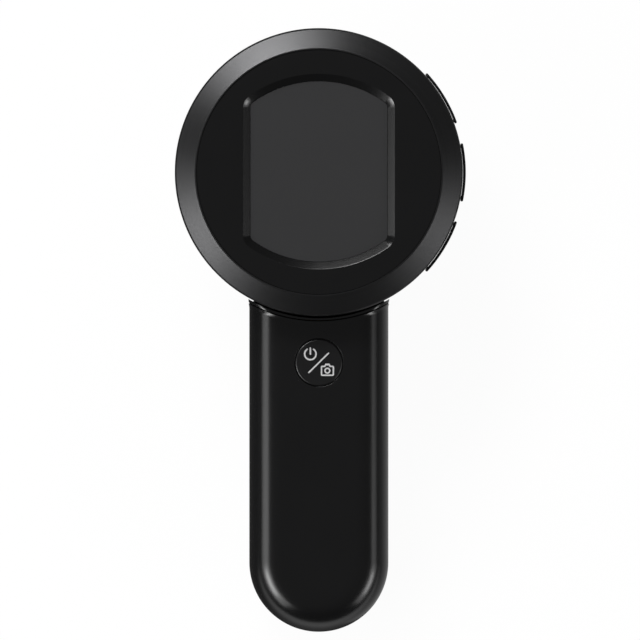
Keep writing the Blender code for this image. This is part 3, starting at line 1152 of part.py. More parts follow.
def make_handle_screws():
    """Four screws from the back of the handle into the cover's posts."""
    screw = screw_mesh(HANDLE_SCREW_RADIUS, HANDLE_SCREW_LENGTH, HANDLE_SCREW_HEAD_RADIUS,
                       HANDLE_SCREW_HEAD_HEIGHT)
    for number, (x, y) in enumerate(handle_screw_places, start=1):
        part("handle_screw_%d" % number, screw.copy(), STEEL, head, (x, y, HANDLE_SCREW_SINK))


for leftover in list(bpy.data.objects):
    bpy.data.objects.remove(leftover)
parts = bpy.data.collections.new("handheld_digital_microscope")
cutters = bpy.data.collections.new("cutters")
bpy.context.scene.collection.children.link(parts)
bpy.context.scene.collection.children.link(cutters)
head = anchor("head_axis", (0, HEAD_Y, 0))

card_low = CONTROL_BOARD_HIGH + CARD_SOCKET_WALL + CARD_ROOM
card_left = CARD_RECESS - HANDLE_WIDTH / 2
board_screw_places = [(BOARD_SCREW_CIRCLE * math.cos(math.radians(angle)),
                       BOARD_SCREW_CIRCLE * math.sin(math.radians(angle))) for angle in BOARD_SCREW_ANGLES]
handle_screw_places = []
for reach, inward in zip(HANDLE_SCREW_REACHES, (0, HANDLE_END_SCREW_IN)):
    for side in (-1, 1):
        handle_screw_places.append((side * (HANDLE_POST_X - inward), -reach))
control_screw_places = [(-CONTROL_SCREW_OFFSET, -CONTROL_SCREW_REACHES[0]),
                        (CONTROL_SCREW_OFFSET, -CONTROL_SCREW_REACHES[1])]

make_rear_shell()
make_handle_cover()
make_bezel_and_face()
make_head_electronics()
make_rim_buttons()
make_optics()
make_focus_ring_and_skirt()
make_power_button()
make_handle_electronics()
make_battery()
make_ribbon()
make_handle_screws()
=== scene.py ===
"""Handheld digital microscope, seen from straight above its screen.

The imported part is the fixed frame. Sizes are millimetres in the part's own frame, turned into metres when
a piece is finished: the table is Z = 0, the handle points along -Y and the head's axis stands at HEAD_Y.
"""
import math

import bmesh
import bpy
from mathutils import Matrix, Vector


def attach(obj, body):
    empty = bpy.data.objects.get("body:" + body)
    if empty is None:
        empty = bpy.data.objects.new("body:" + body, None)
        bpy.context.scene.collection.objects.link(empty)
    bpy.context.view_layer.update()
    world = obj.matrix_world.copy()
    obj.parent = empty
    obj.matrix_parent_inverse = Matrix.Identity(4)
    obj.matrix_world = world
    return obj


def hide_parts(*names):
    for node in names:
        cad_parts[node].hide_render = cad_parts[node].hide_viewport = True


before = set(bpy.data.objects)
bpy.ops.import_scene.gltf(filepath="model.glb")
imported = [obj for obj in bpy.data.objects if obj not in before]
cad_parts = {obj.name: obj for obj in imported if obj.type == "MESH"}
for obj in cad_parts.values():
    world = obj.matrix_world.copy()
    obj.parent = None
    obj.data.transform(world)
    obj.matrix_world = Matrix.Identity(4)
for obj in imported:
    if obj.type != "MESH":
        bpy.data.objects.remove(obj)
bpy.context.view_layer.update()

# Camera. The photograph looks straight down with a flat, distant view, so a very long lens stands high
# above the table. The frame's width is measured at the level of the ring's outer edge.
MM = 0.001
FRAME_WIDTH = 137.8
FRAME_CENTRE = (0.25, 2.23)
EDGE_LEVEL = 27.0
LENS = 1200.0

camera_data = bpy.data.cameras.new("studio_camera")
camera_data.lens = LENS
camera = bpy.data.objects.new("studio_camera", camera_data)
distance = FRAME_WIDTH * LENS / camera_data.sensor_width
camera.location = (FRAME_CENTRE[0] * MM, FRAME_CENTRE[1] * MM, (EDGE_LEVEL + distance) * MM)
bpy.context.scene.collection.objects.link(camera)
bpy.context.scene.camera = camera
bpy.context.scene.view_settings.view_transform = 'Standard'


# Studio room. It is white to the camera and through glass. In gloss its ceiling is dim and its horizon
# pale, and the ceiling is brightest overhead, which the flat black faces mirror when seen from above.
class Value:
    """A shader socket; Python's arithmetic on it adds Math nodes."""

    def __init__(self, nodes, socket):
        self.nodes = nodes
        self.socket = socket

    def __add__(self, other):
        return self.nodes.math('ADD', self, other)

    def __sub__(self, other):
        return self.nodes.math('SUBTRACT', self, other)

    def __rsub__(self, other):
        return self.nodes.math('SUBTRACT', other, self)

    def __mul__(self, other):
        return self.nodes.math('MULTIPLY', self, other)

    def __pow__(self, other):
        return self.nodes.math('POWER', self, other)

    __radd__ = __add__
    __rmul__ = __mul__


class Nodes:
    """The node tree of a world or a material."""

    def __init__(self, owner):
        owner.use_nodes = True
        self.tree = owner.node_tree
        self.tree.nodes.clear()

    def add(self, kind, output=0, sockets=None, **settings):
        """Adds a node: its type, its settings, then the values or links of its sockets."""
        made = self.tree.nodes.new("ShaderNode" + kind)
        for name, value in settings.items():
            setattr(made, name, value)
        for name, value in (sockets or {}).items():
            if isinstance(value, Value):
                self.tree.links.new(value.socket, made.inputs[name])
            else:
                made.inputs[name].default_value = value
        return Value(self, made.outputs[output]) if output is not None else None

    def math(self, operation, first, second):
        return self.add('Math', sockets={0: first, 1: second}, operation=operation)

    def to_eye(self):
        """1 for what the camera sees, straight or through glass."""
        return self.math('MAXIMUM', self.add('LightPath', "Is Camera Ray"),
                         self.add('LightPath', "Is Transmission Ray"))

    def ramp(self, value, start, end, low=0.0, high=1.0):
        """A smooth step from one level to another while a value runs from start to end."""
        return self.add('MapRange', "Result", {"Value": value, "From Min": start, "From Max": end,
                                               "To Min": low, "To Max": high},
                        interpolation_type='SMOOTHSTEP')


WHITE = (1.0, 1.0, 1.0, 1.0)
OVERHEAD = 0.115
CEILING = 0.06
CEILING_FROM = 0.5
HORIZON = 0.12
HORIZON_LOW = -0.05
HORIZON_HIGH = 0.12
FILL = 0.15

room = bpy.data.worlds.new("studio_room")
nodes = Nodes(room)
to_eye = nodes.to_eye()
to_gloss = nodes.add('LightPath', "Is Glossy Ray")
height = nodes.add('SeparateXYZ', "Z", {"Vector": nodes.add('TexCoord', "Generated")})
ceiling = nodes.ramp(height, CEILING_FROM, 1.0, CEILING, OVERHEAD)
in_gloss = ceiling + (1.0 - nodes.ramp(height, HORIZON_LOW, HORIZON_HIGH)) * (HORIZON - ceiling)
light = to_eye + (1.0 - to_eye) * (to_gloss * in_gloss + (1.0 - to_gloss) * FILL)
sky = nodes.add('Background', sockets={"Color": WHITE, "Strength": light})
nodes.add('OutputWorld', None, {"Surface": sky})
bpy.context.scene.world = room

# Table top. A wide white round table that keeps the object's shadow; from below it can be seen through.
# To glossy rays it is not lit but glows, a painted reflection: dark on the left, grey on the right, paler
# in front, and with a painted pool of light beneath the handle.
TABLE_RADIUS = 3000.0
TABLE_STEPS = 96
TABLE_DROP = 0.02
TABLE_PAINT = (0.72, 0.72, 0.72, 1.0)
TABLE_GLOW = 1.02
EYE_SHARE = 0.94
# Levels and ramps of the painted reflection: the glow that the table shows to glossy rays only.
PAINTED_GLOW_BASE = 0.07
PAINTED_GLOW_RIGHT = 0.40
PAINTED_GLOW_RIGHT_FAR = 0.13
PAINTED_GLOW_RIGHT_START = (12.0, 18.0)
PAINTED_GLOW_RIGHT_FADE = (5.0, 120.0)
PAINTED_GLOW_FRONT = 0.68
PAINTED_GLOW_FRONT_FADE = (-135.0, -70.0)
PAINTED_GLOW_BENEATH = 0.5
PAINTED_GLOW_BENEATH_SIDE = (8.0, 14.0)
PAINTED_GLOW_BENEATH_FAR = (-60.0, -50.0)
PAINTED_GLOW_BENEATH_NEAR = (0.0, 8.0)

table_paint = bpy.data.materials.new("table_white")
nodes = Nodes(table_paint)
to_eye = nodes.to_eye()
to_gloss = nodes.add('LightPath', "Is Glossy Ray")
east, north = (nodes.add('SeparateXYZ', axis, {"Vector": nodes.add('TexCoord', "Object")}) * (1 / MM)
               for axis in "XY")
right = nodes.ramp(east, *PAINTED_GLOW_RIGHT_START) * nodes.ramp(east, *PAINTED_GLOW_RIGHT_FADE, PAINTED_GLOW_RIGHT, PAINTED_GLOW_RIGHT_FAR)
front = nodes.ramp(north, *PAINTED_GLOW_FRONT_FADE, PAINTED_GLOW_FRONT, 0.0)
beneath = (nodes.ramp((east * east) ** 0.5, *PAINTED_GLOW_BENEATH_SIDE, PAINTED_GLOW_BENEATH, 0.0)
           * nodes.ramp(north, *PAINTED_GLOW_BENEATH_FAR) * nodes.ramp(north, *PAINTED_GLOW_BENEATH_NEAR, 1.0, 0.0))
# Painted reflection: a base glow raised by painted pools of light on the right, in front and beneath the
# handle.
in_gloss = PAINTED_GLOW_BASE + nodes.math('MAXIMUM', nodes.math('MAXIMUM', right, front), beneath)
paint = nodes.add('BsdfDiffuse', sockets={"Color": TABLE_PAINT})
painted_reflection_glow = nodes.add('Emission', sockets={"Color": WHITE, "Strength": in_gloss})
glow = nodes.add('Emission', sockets={"Color": WHITE, "Strength": TABLE_GLOW})
unseen = nodes.add('MixShader', sockets={0: to_gloss, 1: paint, 2: painted_reflection_glow})
top_side = nodes.add('MixShader', sockets={0: to_eye * EYE_SHARE, 1: unseen, 2: glow})
under = nodes.add('NewGeometry', "Backfacing")
both_sides = nodes.add('MixShader', sockets={0: under, 1: top_side, 2: nodes.add('BsdfTransparent')})
nodes.add('OutputMaterial', None, {"Surface": both_sides})

work = bmesh.new()
bmesh.ops.create_circle(work, cap_ends=True, segments=TABLE_STEPS, radius=TABLE_RADIUS * MM)
bmesh.ops.translate(work, verts=work.verts, vec=(0, 0, -TABLE_DROP * MM))
table_mesh = bpy.data.meshes.new("table_top")
work.to_mesh(table_mesh)
work.free()
table_mesh.materials.append(table_paint)
table_top = bpy.data.objects.new("table_top", table_mesh)
bpy.context.scene.collection.objects.link(table_top)

# Three soft boxes round the object, each brightest in its middle. They give the chamfered ring its three
# broad lights and the handle its wide light on the left and its thin one on the right.
LAMPS = (("key_lamp", 113, 53, 760.0, 360.0, 13.2),
         ("left_lamp", 206, 58, 900.0, 420.0, 6.7),
         ("right_lamp", 335, 66, 760.0, 330.0, 3.05))
LAMP_PARTS = (("edge", 1200.0, 1.30, 0.57), ("middle", 1190.0, 0.60, 0.43))

for lamp_name, azimuth, tilt, width, tall, watts in LAMPS:
    for part_name, reach, size, power in LAMP_PARTS:
        lamp_data = bpy.data.lights.new(f"{lamp_name}_{part_name}", 'AREA')
        lamp_data.shape = 'RECTANGLE'
        lamp_data.size = width * size * MM
        lamp_data.size_y = tall * size * MM
        lamp_data.energy = watts * power
        lamp = bpy.data.objects.new(lamp_data.name, lamp_data)
        away = Vector((math.sin(math.radians(tilt)), 0, math.cos(math.radians(tilt))))
        away.rotate(Matrix.Rotation(math.radians(azimuth), 3, 'Z'))
        lamp.location = away * reach * MM
        lamp.rotation_mode = 'QUATERNION'
        lamp.rotation_quaternion = away.to_track_quat('Z', 'Y')
        lamp.visible_camera = False
        bpy.context.scene.collection.objects.link(lamp)


# Rear shell, head part: a cup moulded in black plastic with a round lower corner, a floor, and the barrel
# that the focus ring turns on. Three slots in its wall take the rim keys, and the bezel ring caps it.
HEAD_Y = 34.05
HEAD_AXIS = (0.0, HEAD_Y)
ROUND_STEPS = 192
CORNER_STEPS = 12
WELD = 0.0005
SHARP = 32
CUP_RADIUS = 30.4
CUP_INNER = 28.6
CUP_CORNER = 6.0
CUP_TOP = 27.0
TONGUE_RADIUS = 29.6
TONGUE_TOP = 28.0
FLOOR_LOW = 12.3
FLOOR_HIGH = 14.1
BARREL_OUTER = 21.5
BARREL_INNER = 19.5
BARREL_LOW = 4.0
TUBE_HOLE = 7.5
NECK_INNER = 29.5
NECK_OUTER = 31.7
NECK_HALF_TURN = 26.9
NECK_BEVEL = 1.1
NECK_LOW = 15.0
NECK_HIGH = 21.7
KEY_ANGLES = (31.2, 0.0, -31.2)
KEY_HALF_TURN = 11.5
KEY_LOW = 18.1
KEY_HIGH = 22.5
KEY_ROOM = 0.3
KEY_STEPS = 24


def arc(centre, radius, start, end, steps):
    """Points of an arc, both ends included, angles in degrees."""
    turns = [math.radians(start + (end - start) * step / steps) for step in range(steps + 1)]
    return [(centre[0] + radius * math.cos(turn), centre[1] + radius * math.sin(turn)) for turn in turns]


def moved(work, x, y, z=0.0):
    """Moves a bmesh."""
    bmesh.ops.translate(work, verts=work.verts, vec=(x, y, z))
    return work


def turned(work, axis, degrees, centre=(0.0, 0.0)):
    """Turns a bmesh about an axis through the origin, or through another place on the table."""
    bmesh.ops.rotate(work, verts=work.verts, cent=(*centre, 0),
                     matrix=Matrix.Rotation(math.radians(degrees), 3, axis))
    return work


def spun(profile, steps=ROUND_STEPS, centre=HEAD_AXIS, closed=True):
    """Spins (radius, height) points round an upright axis; an open profile starts and ends on the axis."""
    work = bmesh.new()
    verts = [work.verts.new((radius, 0, height)) for radius, height in profile]
    rest = verts[1:] + verts[:1] if closed else verts[1:]
    edges = [work.edges.new(pair) for pair in zip(verts, rest)]
    bmesh.ops.spin(work, geom=verts + edges, cent=(0, 0, 0), axis=(0, 0, 1), angle=math.tau, steps=steps,
                   use_merge=True)
    bmesh.ops.remove_doubles(work, verts=work.verts, dist=WELD)
    bmesh.ops.recalc_face_normals(work, faces=work.faces)
    return moved(work, *centre)


def softened(work, width, segments=2, limit=SHARP, chosen=None):
    """Rounds the edges that are sharper than a limit in degrees, or those of them that are chosen."""
    work.normal_update()
    limit = math.radians(limit)
    edges = [edge for edge in work.edges
             if edge.is_manifold and edge.calc_face_angle() > limit and (chosen is None or chosen(edge))]
    bmesh.ops.bevel(work, geom=edges, offset=width, affect='EDGES', segments=segments, profile=0.5,
                    material=-1, clamp_overlap=True)
    return work


def verts_in(geometry):
    """The points among what an operator made."""
    return [item for item in geometry if isinstance(item, bmesh.types.BMVert)]


def slab(loops, low, high):
    """A flat outline with its holes, thickened from one level to another."""
    work = bmesh.new()
    edges = []
    for loop in loops:
        verts = [work.verts.new((x, y, low)) for x, y in loop]
        edges += [work.edges.new(pair) for pair in zip(verts, verts[1:] + verts[:1])]
    bmesh.ops.triangle_fill(work, use_beauty=True, edges=edges)
    raised = bmesh.ops.extrude_face_region(work, geom=work.faces[:], use_keep_orig=True)["geom"]
    bmesh.ops.translate(work, verts=verts_in(raised), vec=(0, 0, high - low))
    bmesh.ops.dissolve_limit(work, angle_limit=math.radians(0.1), verts=work.verts, edges=work.edges)
    bmesh.ops.recalc_face_normals(work, faces=work.faces)
    return work


def band(inner, outer, half_turn, steps, centre=HEAD_AXIS, middle=0.0):
    """A stretch of a flat ring, astride one angle."""
    return (arc(centre, outer, middle - half_turn, middle + half_turn, steps)
            + arc(centre, inner, middle + half_turn, middle - half_turn, steps))


def from_axis(vert):
    """How far a point stands from the head's axis."""
    return (vert.co.xy - Vector(HEAD_AXIS)).length


def together(works):
    """Puts several bmeshes into one; each may come with the number of its material."""
    whole = bmesh.new()
    for part in works:
        work, number = part if isinstance(part, tuple) else (part, 0)
        for face in work.faces:
            face.material_index = number
        mesh = bpy.data.meshes.new("part")
        work.to_mesh(mesh)
        work.free()
        whole.from_mesh(mesh)
        bpy.data.meshes.remove(mesh)
    return whole


def carved(work, cutters, operation='DIFFERENCE'):
    """Cuts shapes out of a bmesh, or joins them to it or keeps what they share, and returns the result."""
    used = []
    for shape in [work] + cutters:
        mesh = bpy.data.meshes.new("carving")
        shape.to_mesh(mesh)
        shape.free()
        used.append(bpy.data.objects.new("carving", mesh))
        bpy.context.scene.collection.objects.link(used[-1])
    for tool in used[1:]:
        modifier = used[0].modifiers.new("carve", 'BOOLEAN')
        modifier.operation = operation
        modifier.solver = 'EXACT'
        modifier.object = tool
    result = bmesh.new()
    result.from_object(used[0], bpy.context.evaluated_depsgraph_get())
    for piece in used:
        bpy.data.objects.remove(piece)
    bmesh.ops.remove_doubles(result, verts=result.verts, dist=WELD)
    return result


def finish(work, name, looks, body="housing", replaced=None):
    """Turns a bmesh into a finished piece that rides on a body.

    It stands for the CAD node of its own name, unless it is told which it replaces."""
    bmesh.ops.scale(work, vec=(MM, MM, MM), verts=work.verts)
    mesh = bpy.data.meshes.new(name)
    work.to_mesh(mesh)
    work.free()
    mesh.shade_smooth()
    mesh.set_sharp_from_angle(angle=math.radians(SHARP))
    for look in looks if isinstance(looks, tuple) else (looks,):
        mesh.materials.append(look)
    piece = bpy.data.objects.new(name, mesh)
    bpy.context.scene.collection.objects.link(piece)
    piece.modifiers.new("even_shading", 'WEIGHTED_NORMAL').keep_sharp = True
    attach(piece, body)
    if replaced is None:
        replaced = [name]
    if replaced:
        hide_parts(*replaced)


class Finish(Nodes):
    """A material: constants sit on its shader's own sockets, and feed() links what varies."""

    def __init__(self, name, colour, roughness, metallic=0.0, constants=None):
        self.look = bpy.data.materials.new(name)
        super().__init__(self.look)
        settings = {"Base Color": (*colour, 1.0), "Roughness": roughness, "Metallic": metallic}
        shader = self.add('BsdfPrincipled', sockets={**settings, **(constants or {})})
        self.inputs = shader.socket.node.inputs
        self.add('OutputMaterial', None, {"Surface": shader})
        self.place = self.add('TexCoord', "Object")

    def feed(self, name, value):
        self.tree.links.new(value.socket, self.inputs[name])

    def noise(self, size, detail=2.0, place=None):
        """Noise whose features have a given size in millimetres."""
        return self.add('TexNoise', "Fac", {"Vector": place or self.place, "Scale": 1 / (size * MM),
                                            "Detail": detail})

    def mixed(self, factor, first, second):
        """A colour between two others."""
        return self.add('Mix', 2, {0: factor, 6: (*first, 1.0), 7: (*second, 1.0)}, data_type='RGBA')

    def bump(self, height, depth):
        """Raises the surface by a height that reaches a depth in millimetres."""
        self.feed("Normal", self.add('Bump', "Normal", {"Height": height, "Distance": depth * MM,
                                                        "Strength": 1.0}))

    def uneven(self, size, detail=2.0, colours=None, sheen=None, depth=0.0):
        """Lets one noise vary the colour, the roughness (its least and its span) and the height."""
        fleck = self.noise(size, detail)
        if colours:
            self.feed("Base Color", self.mixed(fleck, *colours))
        if sheen:
            self.feed("Roughness", sheen[0] + fleck * sheen[1])
        if depth:
            self.bump(fleck, depth)
        return self.look


PLASTIC_IOR = 1.58
PATCH_SIZE = 11.0
PATCH_SHEEN = 0.05
PATCH_PALER = 1.2
GRAIN_SHEEN = 0.10


def moulded(name, colour, roughness, grain_size=0.16, grain_depth=0.003):
    """Moulded plastic with a fine spark-eroded grain and a faint unevenness in its sheen."""
    made = Finish(name, colour, roughness, 0.0, {"IOR": PLASTIC_IOR})
    grain = made.noise(grain_size)
    patches = made.noise(PATCH_SIZE, 3.0)
    made.feed("Roughness", roughness + (grain - 0.5) * GRAIN_SHEEN + (patches - 0.5) * PATCH_SHEEN)
    made.feed("Base Color", made.mixed(patches, colour, tuple(part * PATCH_PALER for part in colour)))
    made.bump(grain, grain_depth)
    return made.look


satin_plastic = moulded("satin_black_plastic", (0.0036, 0.0036, 0.0038), 0.22)
corner_middle = (CUP_RADIUS - CUP_CORNER, FLOOR_LOW + CUP_CORNER)
cup_wall = CUP_RADIUS - CUP_INNER
cup_profile = [(TONGUE_RADIUS, TONGUE_TOP), (TONGUE_RADIUS, CUP_TOP), (CUP_RADIUS, CUP_TOP)]
cup_profile += arc(corner_middle, CUP_CORNER, 0, -90, CORNER_STEPS)
cup_profile += [(BARREL_OUTER, FLOOR_LOW), (BARREL_OUTER, BARREL_LOW), (BARREL_INNER, BARREL_LOW),
                (BARREL_INNER, FLOOR_LOW), (TUBE_HOLE, FLOOR_LOW), (TUBE_HOLE, FLOOR_HIGH)]
cup_profile += arc(corner_middle, CUP_CORNER - cup_wall, -90, 0, CORNER_STEPS) + [(CUP_INNER, TONGUE_TOP)]
slot_half_turn = KEY_HALF_TURN + math.degrees(KEY_ROOM / CUP_RADIUS)
key_slots = [slab([band(CUP_INNER - 2, CUP_RADIUS + 2, slot_half_turn, KEY_STEPS, middle=angle)],
                  KEY_LOW - KEY_ROOM, KEY_HIGH + KEY_ROOM) for angle in KEY_ANGLES]
neck = slab([band(NECK_INNER, NECK_OUTER, NECK_HALF_TURN, KEY_STEPS, middle=-90.0)], NECK_LOW, NECK_HIGH)
neck = softened(neck, NECK_BEVEL, 1,
                chosen=lambda edge: all(vert.co.z > NECK_HIGH - WELD and from_axis(vert) > NECK_OUTER - 0.1
                                        for vert in edge.verts))
cup = carved(spun(cup_profile), key_slots)
finish(together([cup, neck]), "head_cup", satin_plastic, replaced=["rear_shell"])

# Rear shell, handle part: the back half of the handle, moulded with the cup in the same satin plastic. Its
# end is scooped out for the fingers that turn the focus ring. Between head and cover a thin lip stands up,
# a hair proud of the handle, and its rim slopes away from the head.
END_Y = -50.05
HANDLE_HALF = 15.0
HANDLE_FACE = 24.0
HANDLE_FILLET = 7.0
FLAT_HALF = HANDLE_HALF - HANDLE_FILLET
HANDLE_WALL = 2.0
PARTING = 12.0
END_STEPS = 96
FLAT_STEPS = 8
FILLET_STEPS = 16
SIDE_STEPS = 6
EDGE_STEPS = 5
BACK_REACH = 31.25
LIP_INNER = 31.45
LIP_OUTER = 31.87
LIP_SHIFT = 1.6
LIP_RISE = 0.2
LIP_DROP = 0.08
LIP_CORNER = 5.0
LIP_EDGE = 0.04
LIP_LOW = 11.5
LIP_SOFT_FROM = 14.0
LIP_HALF_TURN = 32
LIP_SPAN = (-8.0, 8.0)
LIP_STEPS = 76
SCOOP_REACH = 5.6
SCOOP_HEIGHT = 9.5
BACK_EDGE = 0.3
SCREW_PLACES = ((-9.7, -5.95), (9.7, -5.95), (-8.1, -53.95), (8.1, -53.95))
SCREW_BORE = 2.6
BORE_RIM = 0.2
SCREW_SEAT = 3.4
POST_RADIUS = 3.8
POST_TOP = 5.0
POST_FOOT = 1.6
POST_FLARE = 1.05
PORT_SIZES = (4.87, 2.03, 1.6, 62.0, 67.0)


def drawn_in(point, face, seam, amount):
    """A point of the handle's cross-section moved inwards, square to the skin."""
    up = math.copysign(1, face - seam)
    level = face - up * HANDLE_FILLET
    x, z = point
    nearest = Vector((max(-FLAT_HALF, min(FLAT_HALF, x)), z if (z - level) * up < 0 else level))
    out = Vector(point) - nearest
    return tuple(nearest + out * (1 - amount / out.length))


def half_section(face, seam, inset=0.0):
    """Half of the cross-section, from the middle of the flat face round the fillet to the seam."""
    up = math.copysign(1, face - seam)
    level = face - up * HANDLE_FILLET
    points = [(FLAT_HALF * step / FLAT_STEPS, face) for step in range(FLAT_STEPS)]
    points += [(FLAT_HALF + x, level + up * z) for x, z in arc((0, 0), HANDLE_FILLET, 90, 0, FILLET_STEPS)]
    points += [(HANDLE_HALF, level + (seam - level) * step / SIDE_STEPS)
               for step in range(1, SIDE_STEPS + 1)]
    return [drawn_in(point, face, seam, inset) for point in points]


def on_head(vert, reach):
    """Moves a point along the handle until it is at a reach from the head's axis."""
    vert.co.y = HEAD_Y - math.sqrt(reach ** 2 - vert.co.x ** 2)


def drawn_out(work, edges):
    """Extrudes open edges and returns the new open edges and their points."""
    made = bmesh.ops.extrude_edge_only(work, edges=edges)["geom"]
    verts = verts_in(made)
    fresh = set(verts)
    row = [item for item in made if isinstance(item, bmesh.types.BMEdge) and set(item.verts) <= fresh]
    return row, verts


def across(work, row, reach_at):
    """Closes an open cross-section with a wall that follows the head."""
    sides = [edge for edge in row if all(abs(vert.co.x) > FLAT_HALF - WELD for vert in edge.verts)]
    rungs = bmesh.ops.bridge_loops(work, edges=sides)["edges"]
    split = bmesh.ops.subdivide_edges(work, edges=rungs, cuts=2 * FLAT_STEPS - 1)["geom_inner"]
    for vert in verts_in(split):
        on_head(vert, reach_at(vert.co.z))


def handle_half(face, seam, reach_at, edge_radius, closed, flare=((0.0, 0.0),)):
    """Half of the handle, a hollow moulding: its round end is spun, and its other end follows the head.

    The flare lists how far from the end's edge the skin stands out, and by how much."""
    work = bmesh.new()
    outer = half_section(face, seam)
    inner = half_section(face, seam, HANDLE_WALL)
    verts = [work.verts.new((x, END_Y, z)) for x, z in outer + inner[::-1]]
    edges = [work.edges.new(pair) for pair in zip(verts, verts[1:])]
    bmesh.ops.spin(work, geom=verts + edges, cent=(0, END_Y, 0), axis=(0, 0, 1), angle=-math.pi,
                   steps=END_STEPS)
    bmesh.ops.remove_doubles(work, verts=work.verts, dist=WELD)
    outer_places = {(round(abs(x), 3), round(z, 3)) for x, z in outer}
    open_end = [edge for edge in work.edges if edge.is_boundary
                and all(abs(vert.co.y - END_Y) < WELD for vert in edge.verts)]
    row, verts = drawn_out(work, open_end)
    is_outer = {vert: (round(abs(vert.co.x), 3), round(vert.co.z, 3)) in outer_places for vert in verts}
    for vert in verts:
        thickness = HANDLE_WALL if closed else 0.0
        on_head(vert, reach_at(vert.co.z) + (edge_radius + flare[0][0] if is_outer[vert] else thickness))
    inner_row = [edge for edge in row if not any(is_outer[vert] for vert in edge.verts)]
    row = [edge for edge in row if all(is_outer[vert] for vert in edge.verts)]
    for (_, last_rise), (along, rise) in zip(flare, flare[1:]):
        row, verts = drawn_out(work, row)
        for vert in verts:
            vert.co.x, vert.co.z = drawn_in((vert.co.x, vert.co.z), face, seam, last_rise - rise)
            on_head(vert, reach_at(vert.co.z) + edge_radius + along)
    for step in range(1, EDGE_STEPS + 1):
        turn = math.pi / 2 * step / EDGE_STEPS
        last = math.pi / 2 * (step - 1) / EDGE_STEPS
        row, verts = drawn_out(work, row)
        for vert in verts:
            inset = edge_radius * (math.cos(last) - math.cos(turn))
            vert.co.x, vert.co.z = drawn_in((vert.co.x, vert.co.z), face, seam, inset)
            on_head(vert, reach_at(vert.co.z) + edge_radius * (1 - math.sin(turn)))
    if closed:
        across(work, row, reach_at)
        across(work, inner_row, lambda level: reach_at(level) + HANDLE_WALL)
    else:
        bmesh.ops.bridge_loops(work, edges=row + inner_row)
    bmesh.ops.remove_doubles(work, verts=work.verts, dist=WELD)
    bmesh.ops.holes_fill(work, edges=[edge for edge in work.edges if edge.is_boundary], sides=0)
    bmesh.ops.recalc_face_normals(work, faces=work.faces)
    return work


def scooped(level):
    """How far the back half's end stays from the head's axis at one level."""
    short = max(0.0, 1 - level / SCOOP_HEIGHT)
    return BACK_REACH + SCOOP_REACH * (1 - math.sqrt(1 - short ** 2))


def standing_plate(rise, drop, corner, inner, outer, low):
    """An upright plate that follows the head, stands out from the handle and slopes at its rim."""
    half = HANDLE_HALF + rise
    right = arc((half - corner, HANDLE_FACE + rise - corner), corner, 90, 0, FILLET_STEPS) + [(half, low)]
    prism = turned(slab([right + [(-x, z) for x, z in reversed(right)]], *LIP_SPAN), 'X', 90)
    outline = arc(HEAD_AXIS, outer, -90 - LIP_HALF_TURN, -90 + LIP_HALF_TURN, LIP_STEPS)
    outline += arc((0, HEAD_Y - LIP_SHIFT), inner - LIP_SHIFT, -89 + LIP_HALF_TURN, -91 - LIP_HALF_TURN,
                   LIP_STEPS)
    plate = carved(slab([outline], low - 1, HANDLE_FACE + 1), [prism], 'INTERSECT')
    bmesh.ops.triangulate(plate, faces=plate.faces, ngon_method='BEAUTY')
    for vert in plate.verts:
        if (vert.co.z > low or abs(vert.co.x) > HANDLE_HALF) and from_axis(vert) > outer - 0.05:
            vert.co.x, vert.co.z = drawn_in((vert.co.x, vert.co.z), HANDLE_FACE, PARTING, drop)
    return plate


def lengthwise(half_width, half_height, corner, near, far):
    """A round-cornered bar that lies along the handle, in the middle of its height."""
    loop = []
    for x, z, start in ((1, 1, 0), (-1, 1, 90), (-1, -1, 180), (1, -1, 270)):
        loop += arc((x * (half_width - corner), PARTING + z * (half_height - corner)), corner, start,
                    start + 90, 6)
    return turned(slab([loop], near, far), 'X', 90)


back = handle_half(0.0, PARTING, scooped, BACK_EDGE, True)
post_profile = [(0, POST_FOOT), (POST_RADIUS - POST_FLARE, POST_FOOT),
                (POST_RADIUS, POST_FOOT + POST_FLARE * 1.5), (POST_RADIUS, POST_TOP), (0, POST_TOP)]
bore_profile = [(0, -1), (SCREW_BORE + BORE_RIM, -1), (SCREW_BORE + BORE_RIM, 0), (SCREW_BORE, BORE_RIM),
                (SCREW_BORE, SCREW_SEAT), (0, SCREW_SEAT)]
posts, bores = ([spun(profile, 48, place, False) for place in SCREW_PLACES]
                for profile in (post_profile, bore_profile))
back = carved(back, posts, 'UNION')
back = carved(back, bores + [lengthwise(*PORT_SIZES)])
lip = standing_plate(LIP_RISE, LIP_DROP, LIP_CORNER, LIP_INNER, LIP_OUTER, LIP_LOW)
lip = softened(lip, LIP_EDGE, 2, 50,
               lambda edge: edge.verts[0].co.z + edge.verts[1].co.z > 2 * LIP_SOFT_FROM)
finish(together([back, lip]), "handle_back", satin_plastic, replaced=["rear_shell"])

# Handle cover: the front half of the handle in satin black plastic, screwed on from behind. It carries
# the power button's hole and, on the left, the memory card's slot; its end flares out a little.
COVER_REACH = 32.0
COVER_EDGE = 0.15
COVER_FLARE = ((0.75, 0.0), (0.6, 0.005), (0.45, 0.022), (0.3, 0.050), (0.2, 0.075), (0.1, 0.105),
               (0.0, 0.140))
BUTTON_Y = -6.95
BUTTON_HOLE = 5.25
HOLE_EDGE = 0.06
CARD_Y = -29.95
CARD_HALF_SLOT = 5.9
CARD_SLOT_SPAN = (-16.0, -12.0)
CARD_SLOT_LOW = 15.03
CARD_SLOT_HIGH = 16.63


def oblong(left, right, near, far):
    """The corners of a rectangle."""
    return [(left, near), (right, near), (right, far), (left, far)]


